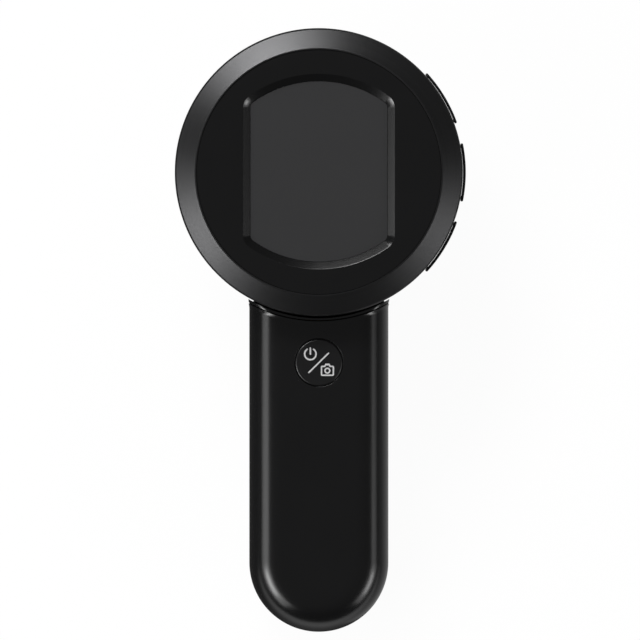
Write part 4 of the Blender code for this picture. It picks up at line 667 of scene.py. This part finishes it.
hole_profile = [(0, HANDLE_FACE - 4), (BUTTON_HOLE, HANDLE_FACE - 4)]
hole_profile += [(BUTTON_HOLE + HOLE_EDGE - x, z) for x, z in
                 arc((0, HANDLE_FACE - HOLE_EDGE), HOLE_EDGE, 0, 90, 4)]
hole_profile += [(BUTTON_HOLE + HOLE_EDGE, HANDLE_FACE + 1), (0, HANDLE_FACE + 1)]
button_hole = spun(hole_profile, 96, (0, BUTTON_Y), False)
card_slot = slab([oblong(*CARD_SLOT_SPAN, CARD_Y - CARD_HALF_SLOT, CARD_Y + CARD_HALF_SLOT)],
                 CARD_SLOT_LOW, CARD_SLOT_HIGH)
cover = handle_half(HANDLE_FACE, PARTING, lambda level: COVER_REACH, COVER_EDGE, False, COVER_FLARE)
cover = carved(cover, [button_hole, card_slot, lengthwise(*PORT_SIZES)])
finish(cover, "handle_cover", satin_plastic)

# Bezel ring: turned metal with a wide chamfer, anodised satin black. Its fine turned grain runs round the
# ring. It snaps over the cup's tongue and holds the face panel down.
RING_STEPS = 256
RING_PROFILE = ((26.40, 32.0), (26.69, 32.0), (30.7, 29.69), (31.0, 29.22), (31.0, 27.0), (29.9, 27.0),
                (29.9, 28.3), (28.3, 28.3), (28.3, 29.1), (25.4, 29.1), (25.4, 29.8), (26.40, 29.8))
RING_EDGE = 0.10
RING_ROUGHNESS = 0.34
GRAIN_ACROSS = 40.0
GRAIN_ALONG = 3.0

anodised = Finish("anodised_black_ring", (0.046, 0.046, 0.047), RING_ROUGHNESS, 0.85)
east, north, level = (anodised.add('SeparateXYZ', axis, {"Vector": anodised.place}) for axis in "XYZ")
north = north - HEAD_Y * MM
radius = (east * east + north * north) ** 0.5
around = anodised.add('Math', sockets={0: north, 1: east}, operation='ARCTAN2')
turned_place = anodised.add('CombineXYZ', sockets={"X": radius * GRAIN_ACROSS, "Y": level * GRAIN_ACROSS,
                                                   "Z": around * (GRAIN_ALONG * MM)})
grain = anodised.noise(5.0, 3.0, turned_place)
cloud = anodised.noise(0.45, 2.0)
anodised.feed("Roughness", RING_ROUGHNESS + (grain - 0.5) * 0.14 + (cloud - 0.5) * 0.06)
anodised.feed("Base Color", anodised.mixed(grain, (0.039, 0.039, 0.040), (0.054, 0.054, 0.055)))
anodised.bump(grain + cloud * 0.4, 0.004)
ring = softened(spun(RING_PROFILE, RING_STEPS), RING_EDGE, 2, 25,
                lambda edge: from_axis(edge.verts[0]) > RING_PROFILE[0][0] + 0.1)
finish(ring, "bezel_ring", anodised.look)

# Face panel: a round plate of fine matt black plastic inside the ring, with the window sunk into it by a
# bevel all round. The window has straight sides, arched ends and round corners.
PANEL_RADIUS = 26.34
PANEL_TOP = 31.8
PANEL_LOW = 29.8
WINDOW_HALF = 16.34
WINDOW_ARCH = 26.02
WINDOW_RISE = 0.12
WINDOW_SHIFT = 5.0
WINDOW_CORNER = 3.0
LEAST_CORNER = 0.4
ARCH_STEPS = 48
BEVEL_WIDTH = 1.6
BEVEL_LOW = 30.65
POCKET_HIGH = 30.4
POCKET_INSET = 0.1
PANEL_EDGE = 0.08


def window_loop(inset):
    """The window's outline, drawn in by inset."""
    half = WINDOW_HALF - inset
    arch = WINDOW_ARCH - inset
    corner = max(WINDOW_CORNER - inset, LEAST_CORNER)
    corner_x = half - corner
    rise = math.sqrt((arch - corner) ** 2 - corner_x ** 2)
    turn = math.degrees(math.atan2(rise, corner_x))
    upper = arc((corner_x, rise - WINDOW_SHIFT), corner, 0, turn, CORNER_STEPS)
    upper += arc((0, -WINDOW_SHIFT), arch, turn, 180 - turn, ARCH_STEPS)[1:-1]
    upper += arc((-corner_x, rise - WINDOW_SHIFT), corner, 180 - turn, 180, CORNER_STEPS)
    middle = HEAD_Y + WINDOW_RISE
    return [(x, middle + y) for x, y in upper] + [(-x, middle - y) for x, y in upper]


def bridged(work, rows):
    """Joins rows of points, each a flat closed outline with its level, by walls."""
    loops = []
    for outline, level in rows:
        verts = [work.verts.new((x, y, level)) for x, y in outline]
        loops.append([work.edges.new(pair) for pair in zip(verts, verts[1:] + verts[:1])])
    for first, second in zip(loops, loops[1:]):
        bmesh.ops.bridge_loops(work, edges=first + second)
    return loops


panel_plastic = moulded("matt_face_plastic", (0.0036, 0.0036, 0.0038), 0.20, 0.12, 0.002)
panel = bmesh.new()
window = bridged(panel, [(window_loop(0), PANEL_TOP), (window_loop(BEVEL_WIDTH), BEVEL_LOW),
                         (window_loop(BEVEL_WIDTH), POCKET_HIGH), (window_loop(POCKET_INSET), POCKET_HIGH),
                         (window_loop(POCKET_INSET), PANEL_LOW)])
rim_outline = arc(HEAD_AXIS, PANEL_RADIUS, 0, 360, ROUND_STEPS)[:-1]
rim = bridged(panel, [(rim_outline, PANEL_TOP), (rim_outline, PANEL_LOW)])
bmesh.ops.triangle_fill(panel, use_beauty=True, edges=window[0] + rim[0])
bmesh.ops.triangle_fill(panel, use_beauty=True, edges=window[-1] + rim[-1])
bmesh.ops.recalc_face_normals(panel, faces=panel.faces)
panel = softened(panel, PANEL_EDGE, 2, 25)
finish(panel, "face_panel", panel_plastic)

# Screen window: a flat tinted pane, its middle raised to the foot of the bevel, with the screen behind it
# switched off, so that it shows as an even dark grey. It lies on a foam frame above the screen.
PANE_INSET = 0.4
PANE_LOW = 29.4
PANE_STEP = 1.63
PANE_HIGH = 30.63
PANE_EDGE = 0.03

pane_glass = Finish("tinted_screen_pane", (0.0345, 0.0345, 0.0355), 0.16).uneven(
    14.0, 4.0, ((0.0335, 0.0335, 0.0345), (0.0355, 0.0355, 0.0365)), (0.14, 0.06))
pane = slab([window_loop(PANE_INSET)], PANE_LOW, POCKET_HIGH - 0.02)
raised = softened(slab([window_loop(PANE_STEP)], PANE_LOW + 0.2, PANE_HIGH), PANE_EDGE, 2, 60)
finish(together([pane, raised]), "screen_window", pane_glass)

# Rim keys: zoom in, menu and zoom out, moulded in black plastic. Each is a block that slides through the
# cup's wall, with a flange inside and a nub that meets its switch. Behind its outer strip lies a slit,
# a few hundredths wider from key to key.
BODY_OUTER = 30.95
STRIP_INNER = (31.14, 31.10, 31.07)
STRIP_OUTER = 31.68
STRIP_EDGE = 0.10
STRIP_END = 0.26
STEM_HALF_TURN = 0.6
STEM_TURN = 10.2
STEM_SHORT = 0.4
FLANGE_INNER = 27.4
FLANGE_OUTER = 28.3
FLANGE_LAP = 0.4
KEY_MERGE = 0.1
NUB_INNER = 26.95
NUB_RADIUS = 0.8
NUB_ROUND = 0.2
NUB_LEVEL = 20.7

key_plastic = moulded("matt_key_plastic", (0.0045, 0.0045, 0.0048), 0.30, 0.12, 0.002)
for name, angle, strip_inner in zip(("zoom_in_button", "menu_button", "zoom_out_button"), KEY_ANGLES,
                                    STRIP_INNER):
    strip = slab([band(strip_inner, STRIP_OUTER, KEY_HALF_TURN, KEY_STEPS)], KEY_LOW, KEY_HIGH)
    strip = softened(strip, STRIP_END, 3, 60,
                     lambda edge: abs(edge.verts[0].co.z - edge.verts[1].co.z) > 1
                     or abs(edge.verts[0].co.y - edge.verts[1].co.y) < 0.3)
    strip = softened(strip, STRIP_EDGE, 2, 60)
    stems = [slab([band(BODY_OUTER - KEY_MERGE, strip_inner + KEY_MERGE, STEM_HALF_TURN, 4,
                        middle=side * STEM_TURN)], KEY_LOW + STEM_SHORT, KEY_HIGH - STEM_SHORT)
             for side in (-1, 1)]
    body = slab([band(FLANGE_OUTER - KEY_MERGE, BODY_OUTER, KEY_HALF_TURN, KEY_STEPS)], KEY_LOW, KEY_HIGH)
    flange_turn = slot_half_turn + math.degrees(FLANGE_LAP / CUP_INNER)
    flange = slab([band(FLANGE_INNER, FLANGE_OUTER, flange_turn, KEY_STEPS)], KEY_LOW - FLANGE_LAP,
                  KEY_HIGH + FLANGE_LAP)
    nub = spun([(0, NUB_INNER), (NUB_RADIUS - NUB_ROUND, NUB_INNER), (NUB_RADIUS, NUB_INNER + NUB_ROUND),
                (NUB_RADIUS, FLANGE_INNER + KEY_MERGE), (0, FLANGE_INNER + KEY_MERGE)], 24, (0, 0), False)
    nub = moved(turned(nub, 'Y', 90), 0, HEAD_Y, NUB_LEVEL)
    key = turned(together([strip, body, flange, nub] + stems), 'Z', angle, HEAD_AXIS)
    finish(key, name, key_plastic, name)

# Power button: a round black key in the handle with a rounded rim, held in by a flange under the cover.
# A power sign, a stroke and a camera sign are printed on it in light grey.
BUTTON_RADIUS = 5.0
BUTTON_CROWN = 0.5
BUTTON_SLOPE = 45.0
BUTTON_FLANGE = 6.0
BUTTON_FLANGE_HIGH = 21.7
BUTTON_FLANGE_LOW = 20.9
BUTTON_STEM = 1.8
BUTTON_LOW = 20.3
INK = 0.012
POWER_SIGN = (-1.83, 1.86)
POWER_RADIUS = 1.23
POWER_WIDTH = 0.34
POWER_GAP = 28.0
POWER_BAR = ((-1.83, 1.83), (-1.83, 3.13))
STROKE = ((-2.15, -2.13), (2.06, 2.02))
STROKE_WIDTH = 0.32
CAMERA_OUTER = ((0.42, -2.88), (3.28, -2.88), (3.28, -0.66), (2.51, -0.66), (2.31, -0.22), (1.39, -0.22),
                (1.19, -0.66), (0.42, -0.66))
CAMERA_INNER = ((0.73, -2.57), (2.97, -2.57), (2.97, -0.96), (2.31, -0.96), (2.17, -0.60), (1.53, -0.60),
                (1.39, -0.96), (0.73, -0.96))
CAMERA_CORNER = 0.3
LENS_SIGN = (1.84, -1.74)
LENS_SIGN_RADII = (0.66, 0.36)
SIGN_STEPS = 48


def bar(start, end, width):
    """A straight stroke with round ends."""
    turn = math.degrees(math.atan2(end[1] - start[1], end[0] - start[0]))
    return arc(end, width / 2, turn - 90, turn + 90, 12) + arc(start, width / 2, turn + 90, turn + 270, 12)


crown_reach = BUTTON_CROWN * math.sin(math.radians(BUTTON_SLOPE))
button_profile = [(0, HANDLE_FACE)] + arc((BUTTON_RADIUS - crown_reach, HANDLE_FACE - BUTTON_CROWN),
                                          BUTTON_CROWN, 90, 90 - BUTTON_SLOPE, 8)
button_profile += [(BUTTON_RADIUS, BUTTON_FLANGE_HIGH), (BUTTON_FLANGE, BUTTON_FLANGE_HIGH),
                   (BUTTON_FLANGE, BUTTON_FLANGE_LOW), (BUTTON_STEM, BUTTON_FLANGE_LOW),
                   (BUTTON_STEM, BUTTON_LOW), (0, BUTTON_LOW)]
button = spun(button_profile, 128, (0, BUTTON_Y), False)
finish(button, "power_button", key_plastic, "power_button")

ink = Finish("light_grey_print", (0.58, 0.58, 0.58), 0.5).uneven(
    0.08, colours=((0.50, 0.50, 0.50), (0.66, 0.66, 0.66)), depth=0.002)
power_arc = band(POWER_RADIUS - POWER_WIDTH / 2, POWER_RADIUS + POWER_WIDTH / 2, 180 - POWER_GAP,
                 SIGN_STEPS, POWER_SIGN, 270.0)
lens_rings = [arc(LENS_SIGN, radius, 0, 360, SIGN_STEPS)[:-1] for radius in LENS_SIGN_RADII]
signs = [slab(loops, 0, INK) for loops in ([power_arc], [bar(*POWER_BAR, POWER_WIDTH)],
                                           [bar(*STROKE, STROKE_WIDTH)], [CAMERA_OUTER, CAMERA_INNER],
                                           lens_rings)]
signs[3] = softened(signs[3], CAMERA_CORNER, 4, 80,
                    lambda edge: abs(edge.verts[0].co.z - edge.verts[1].co.z) > INK / 2
                    and edge.verts[0].co.xy.to_tuple(2) in CAMERA_OUTER[:3] + CAMERA_OUTER[-1:])
finish(moved(together(signs), 0, BUTTON_Y, HANDLE_FACE), "button_signs", ink, "power_button", [])

# Focus ring: a moulded grip ring that turns on the barrel, with thirty-six ribs and a rounded rim at both
# ends. It is matt black plastic, coarser in grain than the housing.
GRIP_OUTER = 25.5
GRIP_DEPTH = 0.7
GRIP_COUNT = 36
GRIP_SHARES = (0.0, 0.16, 0.50, 0.66)
GRIP_LOW = 4.0
GRIP_HIGH = 12.0
GRIP_RIM = 0.6
GRIP_ROUND = 0.4
RIB_EDGE = 0.16
GRIP_INNER = 21.8
GRIP_GROOVE = 22.6

grip_plastic = moulded("coarse_grip_plastic", (0.0095, 0.0095, 0.0098), 0.48, 0.22, 0.006)
grip_loop = []
for grip in range(GRIP_COUNT):
    for share, inwards in zip(GRIP_SHARES, (GRIP_DEPTH, 0.0, 0.0, GRIP_DEPTH)):
        turn = math.tau * (grip + share) / GRIP_COUNT
        grip_loop.append(((GRIP_OUTER - inwards) * math.cos(turn),
                          HEAD_Y + (GRIP_OUTER - inwards) * math.sin(turn)))
hole_loop = arc(HEAD_AXIS, GRIP_GROOVE, 0, 360, ROUND_STEPS)[:-1]
ribs = slab([grip_loop, hole_loop], GRIP_LOW + GRIP_RIM, GRIP_HIGH - GRIP_RIM)
ribs = softened(ribs, RIB_EDGE, 2, 15, lambda edge: from_axis(edge.verts[0]) > GRIP_OUTER - 1.5)
collar_middle = GRIP_OUTER - GRIP_DEPTH - GRIP_ROUND
collar_edge = arc((collar_middle, GRIP_HIGH - GRIP_ROUND), GRIP_ROUND, 90, 0, 5)
collar_foot = arc((collar_middle, GRIP_LOW + GRIP_ROUND), GRIP_ROUND, 0, -90, 5)
collar = spun([(GRIP_INNER, GRIP_HIGH)] + collar_edge + collar_foot + [(GRIP_INNER, GRIP_LOW)])
finish(together([ribs, collar]), "focus_ring", grip_plastic, "focus_ring")

# Clear skirt: a turned ring of clear acrylic that stands on the specimen, snaps into the barrel and keeps
# the focus ring on. Light from the lamp board shines through it.
SKIRT_PROFILE = ((19.0, 0.0), (20.8, 0.0), (21.5, 2.7), (23.6, 2.7), (23.6, 3.7), (19.2, 3.7), (19.2, 6.2),
                 (17.4, 6.2), (17.4, 2.7))
SKIRT_EDGE = 0.2

clear_acrylic = Finish("clear_acrylic", (0.97, 0.98, 0.98), 0.04, 0.0,
                       {"Transmission Weight": 1.0, "IOR": 1.49}).uneven(2.2, 4.0, sheen=(0.03, 0.06))
skirt = softened(spun(SKIRT_PROFILE), SKIRT_EDGE, 3, 40)
finish(skirt, "clear_skirt", clear_acrylic)

# Lamp board: a white solder-resist ring of circuit board in the barrel's mouth, with eight small white
# lamps round the lens. Each lamp is a pale package with a round pool of yellow phosphor.
BOARD_OUTER = 18.9
BOARD_INNER = 6.9
BOARD_LOW = 6.2
BOARD_HIGH = 7.2
BOARD_EDGE = 0.05
LAMP_COUNT = 8
LAMP_CIRCLE = 13.0
LAMP_HALF = (1.75, 1.4)
LAMP_LOW = 5.4
LAMP_EDGE = 0.1
LAMP_FIRST = 22.5
WELL_PROFILE = ((0, 4.4), (1.1, 4.4), (0.95, 5.7), (0, 5.7))
POOL_PROFILE = ((0, 5.45), (1.05, 5.5), (1.0, 5.75), (0, 5.75))
PAD_HALF = (0.55, 1.1)
PAD_OUT = 0.3
PAD_DEPTH = 0.03


def block(centre, size):
    """A rectangular block."""
    work = bmesh.new()
    bmesh.ops.create_cube(work, size=1.0)
    bmesh.ops.scale(work, vec=size, verts=work.verts)
    return moved(work, *centre)


def on_circle(work, out, degrees):
    """Sets a piece out from the head's axis, in one direction."""
    return moved(turned(moved(work, out, 0), 'Z', degrees), *HEAD_AXIS)


resist = Finish("white_solder_resist", (0.78, 0.79, 0.77), 0.42).uneven(
    0.5, 3.0, ((0.72, 0.73, 0.71), (0.82, 0.83, 0.81)), depth=0.004)
solder = Finish("tinned_pads", (0.72, 0.72, 0.74), 0.30, 1.0).uneven(0.25, sheen=(0.22, 0.22), depth=0.006)
lamp_case = Finish("lamp_case_white", (0.80, 0.80, 0.76), 0.35).uneven(
    0.6, colours=((0.76, 0.76, 0.72), (0.84, 0.84, 0.80)))
phosphor = Finish("lamp_phosphor_yellow", (0.75, 0.52, 0.06), 0.30).uneven(
    0.3, colours=((0.68, 0.46, 0.05), (0.82, 0.60, 0.10)))

lamp_board = softened(spun(oblong(BOARD_INNER, BOARD_OUTER, BOARD_LOW, BOARD_HIGH)), BOARD_EDGE, 1)
pads = []
for lamp in range(LAMP_COUNT):
    turn = LAMP_FIRST + 360 / LAMP_COUNT * lamp
    case = softened(block((0, 0, (BOARD_LOW + LAMP_LOW) / 2),
                          (2 * LAMP_HALF[0], 2 * LAMP_HALF[1], BOARD_LOW - LAMP_LOW)), LAMP_EDGE)
    case = carved(case, [spun(WELL_PROFILE, 32, (0, 0), False)])
    pool = spun(POOL_PROFILE, 32, (0, 0), False)
    finish(on_circle(together([case, (pool, 1)]), LAMP_CIRCLE, turn), f"led_{lamp + 1}",
           (lamp_case, phosphor))
    for side in (-1, 1):
        pad = slab([oblong(-PAD_HALF[0], PAD_HALF[0], -PAD_HALF[1], PAD_HALF[1])], BOARD_LOW - PAD_DEPTH,
                   BOARD_LOW)
        pads.append((on_circle(pad, LAMP_CIRCLE + side * (LAMP_HALF[0] + PAD_OUT), turn), 1))
finish(together([lamp_board] + pads), "lamp_board", (resist, solder),
       replaced=["led_board"])

# Lens group: a matt black barrel on a thin plate with two pins that follow the ring's groove, a coated
# front lens, and the black screw ring with two spanner notches that holds the lens in.
BARREL_PROFILE = ((5.2, 6.8), (5.5, 7.1), (5.5, 8.7), (19.2, 8.7), (19.2, 10.3), (5.5, 10.3), (5.5, 17.2),
                  (4.0, 17.2), (4.0, 14.39), (2.6, 14.39), (2.6, 10.65), (4.0, 10.65), (4.0, 7.1),
                  (4.3, 6.8))
PIN_PROFILE = ((0, 18.9), (0.8, 18.9), (0.8, 22.7), (0.6, 22.9), (0, 22.9))
PIN_LEVEL = 9.5
LENS_RADIUS = 3.7
LENS_LOW = 8.85
LENS_BASE = 10.65
LENS_CROWN = 0.6
RETAINER_LOW = 7.25
RETAINER_INNER = 2.6
NOTCH_HALF = (5.0, 0.35)
NOTCH_DEPTH = 0.5

barrel_paint = moulded("matt_lens_barrel", (0.0085, 0.0085, 0.0088), 0.5, 0.10, 0.002)
barrel = softened(spun(BARREL_PROFILE), 0.06, 1, 60)
pins = [moved(turned(spun(PIN_PROFILE, 32, (0, 0), False), 'Y', side), 0, HEAD_Y, PIN_LEVEL)
        for side in (-90, 90)]
finish(together([barrel] + pins), "lens_carrier", barrel_paint, "lens_group")

coated_glass = Finish("coated_lens_glass", (0.93, 0.95, 1.0), 0.02, 0.0,
                      {"Transmission Weight": 1.0, "IOR": 1.52, "Coat Weight": 1.0, "Coat Roughness": 0.02,
                       "Coat Tint": (0.75, 0.70, 1.0, 1.0)}).uneven(0.7, 3.0, sheen=(0.01, 0.03))
bulge = (LENS_RADIUS ** 2 + LENS_CROWN ** 2) / (2 * LENS_CROWN)
half_turn = math.degrees(math.asin(LENS_RADIUS / bulge))
front = arc((0, LENS_LOW + bulge), bulge, -90, -90 + half_turn, 16)
finish(spun(front + [(LENS_RADIUS, LENS_BASE), (0, LENS_BASE)], 96, HEAD_AXIS, False), "front_lens",
       coated_glass, "lens_group")

retainer = softened(spun(((RETAINER_INNER, RETAINER_LOW), (LENS_RADIUS, RETAINER_LOW),
                          (LENS_RADIUS, LENS_LOW), (RETAINER_INNER + 0.3, LENS_LOW)), 96), 0.08, 2)
notch = slab([oblong(-NOTCH_HALF[0], NOTCH_HALF[0], HEAD_Y - NOTCH_HALF[1], HEAD_Y + NOTCH_HALF[1])],
             RETAINER_LOW - NOTCH_DEPTH, RETAINER_LOW + NOTCH_DEPTH)
finish(carved(retainer, [notch]), "lens_retainer", anodised.look, "lens_group")

# Handle screws: four blackened pan-head screws with a cross recess, turned and threaded. They are sunk in
# their counterbores at the back and hold the handle's two halves together.
SCREW_HEAD = 2.3
SCREW_ROUND = 0.7
SCREW_LOW = 1.8
SCREW_THREAD = 1.2
SCREW_END = 13.4
THREAD_PITCH = 0.5
THREAD_DEPTH = 0.22
THREAD_START = 0.2
THREAD_TURNS = 18
RECESS_HALF = 0.32
RECESS_REACH = 1.45
RECESS_DEPTH = 0.95
RECESS_TAPER = 0.55
RECESS_TURN = 20

screw_steel = Finish("blackened_steel", (0.17, 0.17, 0.175), 0.36, 1.0).uneven(
    0.5, 4.0, ((0.12, 0.12, 0.125), (0.24, 0.24, 0.245)), (0.28, 0.2), 0.003)
screw_profile = [(0, SCREW_LOW)] + arc((SCREW_HEAD - SCREW_ROUND, SCREW_LOW + SCREW_ROUND), SCREW_ROUND,
                                       -90, 0, 6)
screw_profile += [(SCREW_HEAD, SCREW_SEAT), (SCREW_THREAD, SCREW_SEAT)]
for pitch in range(THREAD_TURNS):
    start = SCREW_SEAT + THREAD_START + THREAD_PITCH * pitch
    screw_profile += [(SCREW_THREAD - THREAD_DEPTH, start), (SCREW_THREAD, start + THREAD_PITCH / 2)]
screw_profile += [(SCREW_THREAD - 0.3, SCREW_END - 0.2), (0, SCREW_END)]
for number, place in enumerate(SCREW_PLACES, start=1):
    crosses = []
    for quarter in (0, 90):
        cross = slab([oblong(-RECESS_REACH, RECESS_REACH, -RECESS_HALF, RECESS_HALF)], SCREW_LOW - 0.5,
                     SCREW_LOW + RECESS_DEPTH)
        for vert in cross.verts:
            if vert.co.z > SCREW_LOW:
                vert.co.xy = vert.co.xy * RECESS_TAPER
        crosses.append(moved(turned(cross, 'Z', quarter + RECESS_TURN * number), *place))
    screw = carved(spun(screw_profile, 48, place, False), crosses)
    finish(screw, f"handle_screw_{number}", screw_steel)

# Charging socket: a drawn steel shell with a black tongue and a row of gold contacts on both its faces,
# set just inside the opening at the handle's end.
SOCKET_HALF = (4.47, 1.63)
SOCKET_CORNER = 1.3
SOCKET_WALL = 0.3
SOCKET_MOUTH = 64.35
SOCKET_BACK = 57.05
TONGUE_HALF = (3.35, 0.35)
TONGUE_CORNER = 0.3
TONGUE_EDGE = 0.08
TONGUE_END = 63.5
CONTACT_COUNT = 12
CONTACT_PITCH = 0.5
CONTACT_HALF = 0.13
CONTACT_SPAN = (-62.9, -59.0)
CONTACT_RISE = 0.03

shell_steel = Finish("drawn_steel", (0.56, 0.56, 0.57), 0.26, 1.0).uneven(0.8, 4.0, sheen=(0.20, 0.18))
gold = Finish("gold_contacts", (0.85, 0.60, 0.24), 0.25, 1.0).uneven(0.2, sheen=(0.18, 0.16))
shell = lengthwise(*SOCKET_HALF, SOCKET_CORNER, SOCKET_BACK, SOCKET_MOUTH)
mouth = lengthwise(SOCKET_HALF[0] - SOCKET_WALL, SOCKET_HALF[1] - SOCKET_WALL, SOCKET_CORNER - SOCKET_WALL,
                   SOCKET_BACK + 0.8, SOCKET_MOUTH + 1)
tongue = lengthwise(*TONGUE_HALF, TONGUE_CORNER, SOCKET_BACK + 0.5, TONGUE_END)
tongue = softened(tongue, TONGUE_EDGE, 1, 60)
contacts = []
for face in (-1, 1):
    level = PARTING + face * TONGUE_HALF[1]
    for contact in range(CONTACT_COUNT):
        middle = (contact - (CONTACT_COUNT - 1) / 2) * CONTACT_PITCH
        strip = slab([oblong(middle - CONTACT_HALF, middle + CONTACT_HALF, *CONTACT_SPAN)],
                     level - CONTACT_RISE, level + CONTACT_RISE)
        contacts.append((strip, 2))
socket = together([carved(shell, [mouth]), (tongue, 1)] + contacts)
finish(socket, "charging_socket", (shell_steel, key_plastic, gold), replaced=["usb_socket"])

# Memory card: black plastic with a lengthwise ridge for the nail at its outer end, a notch in one side and
# eight gold contacts beneath its inner end. It slides out of the handle's left side.
CARD_START = -14.8
CARD_END = 0.2
CARD_HALF = 5.5
CARD_LOW = 15.43
CARD_HIGH = 16.23
CARD_OUTLINE = ((CARD_START, -CARD_HALF), (-6.6, -CARD_HALF), (-6.0, -4.7), (-3.4, -4.7), (-2.9, -3.9),
                (CARD_END, -3.9), (CARD_END, CARD_HALF), (CARD_START, CARD_HALF))
CARD_EDGE = 0.08
RIDGE_SIZE = (0.9, 9.4, 0.3)
RIDGE_IN = 0.75
RIDGE_EDGE = 0.12
TOUCH_COUNT = 8
TOUCH_FIRST = -3.1
TOUCH_PITCH = 1.1
TOUCH_HALF = 0.38
TOUCH_SPAN = (-2.9, -0.2)

card_top = CARD_HIGH - RIDGE_SIZE[2] / 2
card = softened(slab([[(x, CARD_Y + y) for x, y in CARD_OUTLINE]], CARD_LOW, card_top), CARD_EDGE)
ridge = softened(block((CARD_START + RIDGE_IN, CARD_Y, card_top), RIDGE_SIZE), RIDGE_EDGE, 3)
touches = []
for row in range(TOUCH_COUNT):
    middle = CARD_Y + TOUCH_FIRST + row * TOUCH_PITCH
    touch = slab([oblong(*TOUCH_SPAN, middle - TOUCH_HALF, middle + TOUCH_HALF)], CARD_LOW - 0.01,
                 CARD_LOW + 0.05)
    touches.append((touch, 1))
finish(together([card, ridge] + touches), "memory_card", (key_plastic, gold),
       "memory_card")


# Inner pieces: boards, screen module, sensor, switches, battery and wiring keep their solids. Each gets
# the finish that the real one has, because the gaps and the clear parts let some of them show.
def dress(look, *names):
    """Gives CAD nodes a finish."""
    for name in names:
        for place in bpy.data.objects[name].material_slots:
            place.link = 'OBJECT'
            place.material = look


def flecked(name, dark, light, size, roughness, metallic=0.0, depth=0.002):
    """A finish that wanders between two colours, with a slight unevenness to match."""
    sheen = (roughness - 0.06, 0.12)
    return Finish(name, dark, roughness, metallic).uneven(size, 3.0, (dark, light), sheen, depth)


dress(flecked("green_solder_resist", (0.010, 0.10, 0.045), (0.018, 0.15, 0.07), 0.8, 0.32),
      "main_board", "control_board")
dress(flecked("moulded_chip_black", (0.011, 0.011, 0.012), (0.020, 0.020, 0.021), 0.15, 0.55),
      "processor", "image_sensor", "lcd_panel")
dress(flecked("carrier_black_plastic", (0.008, 0.008, 0.009), (0.012, 0.012, 0.013), 0.2, 0.5),
      "lcd_frame", "lens_tube")
dress(flecked("closed_cell_foam", (0.012, 0.012, 0.012), (0.030, 0.030, 0.030), 0.25, 0.95, depth=0.04),
      "screen_gasket", "battery_pad")
dress(flecked("bright_steel", (0.50, 0.50, 0.51), (0.62, 0.62, 0.63), 0.4, 0.28, 1.0),
      "board_screw_1", "board_screw_2", "board_screw_3", "control_board_screw_1", "control_board_screw_2",
      "side_switch_1", "side_switch_2", "side_switch_3", "power_switch", "card_socket")
dress(flecked("cream_nylon", (0.66, 0.62, 0.50), (0.76, 0.72, 0.61), 0.6, 0.45),
      "ribbon_socket_head", "ribbon_socket_handle", "battery_plug")
dress(flecked("polyimide_ribbon", (0.42, 0.17, 0.02), (0.55, 0.26, 0.05), 1.2, 0.3), "ribbon_cable")
dress(flecked("red_wire_sheath", (0.50, 0.015, 0.012), (0.62, 0.03, 0.02), 0.5, 0.4), "battery_lead_red")
dress(flecked("black_wire_sheath", (0.010, 0.010, 0.010), (0.018, 0.018, 0.018), 0.5, 0.4),
      "battery_lead_black")
dress(flecked("silver_cell_foil", (0.55, 0.56, 0.58), (0.68, 0.69, 0.71), 3.0, 0.34, 0.9, 0.03), "battery")
dress(coated_glass, "rear_lens", "ir_filter")
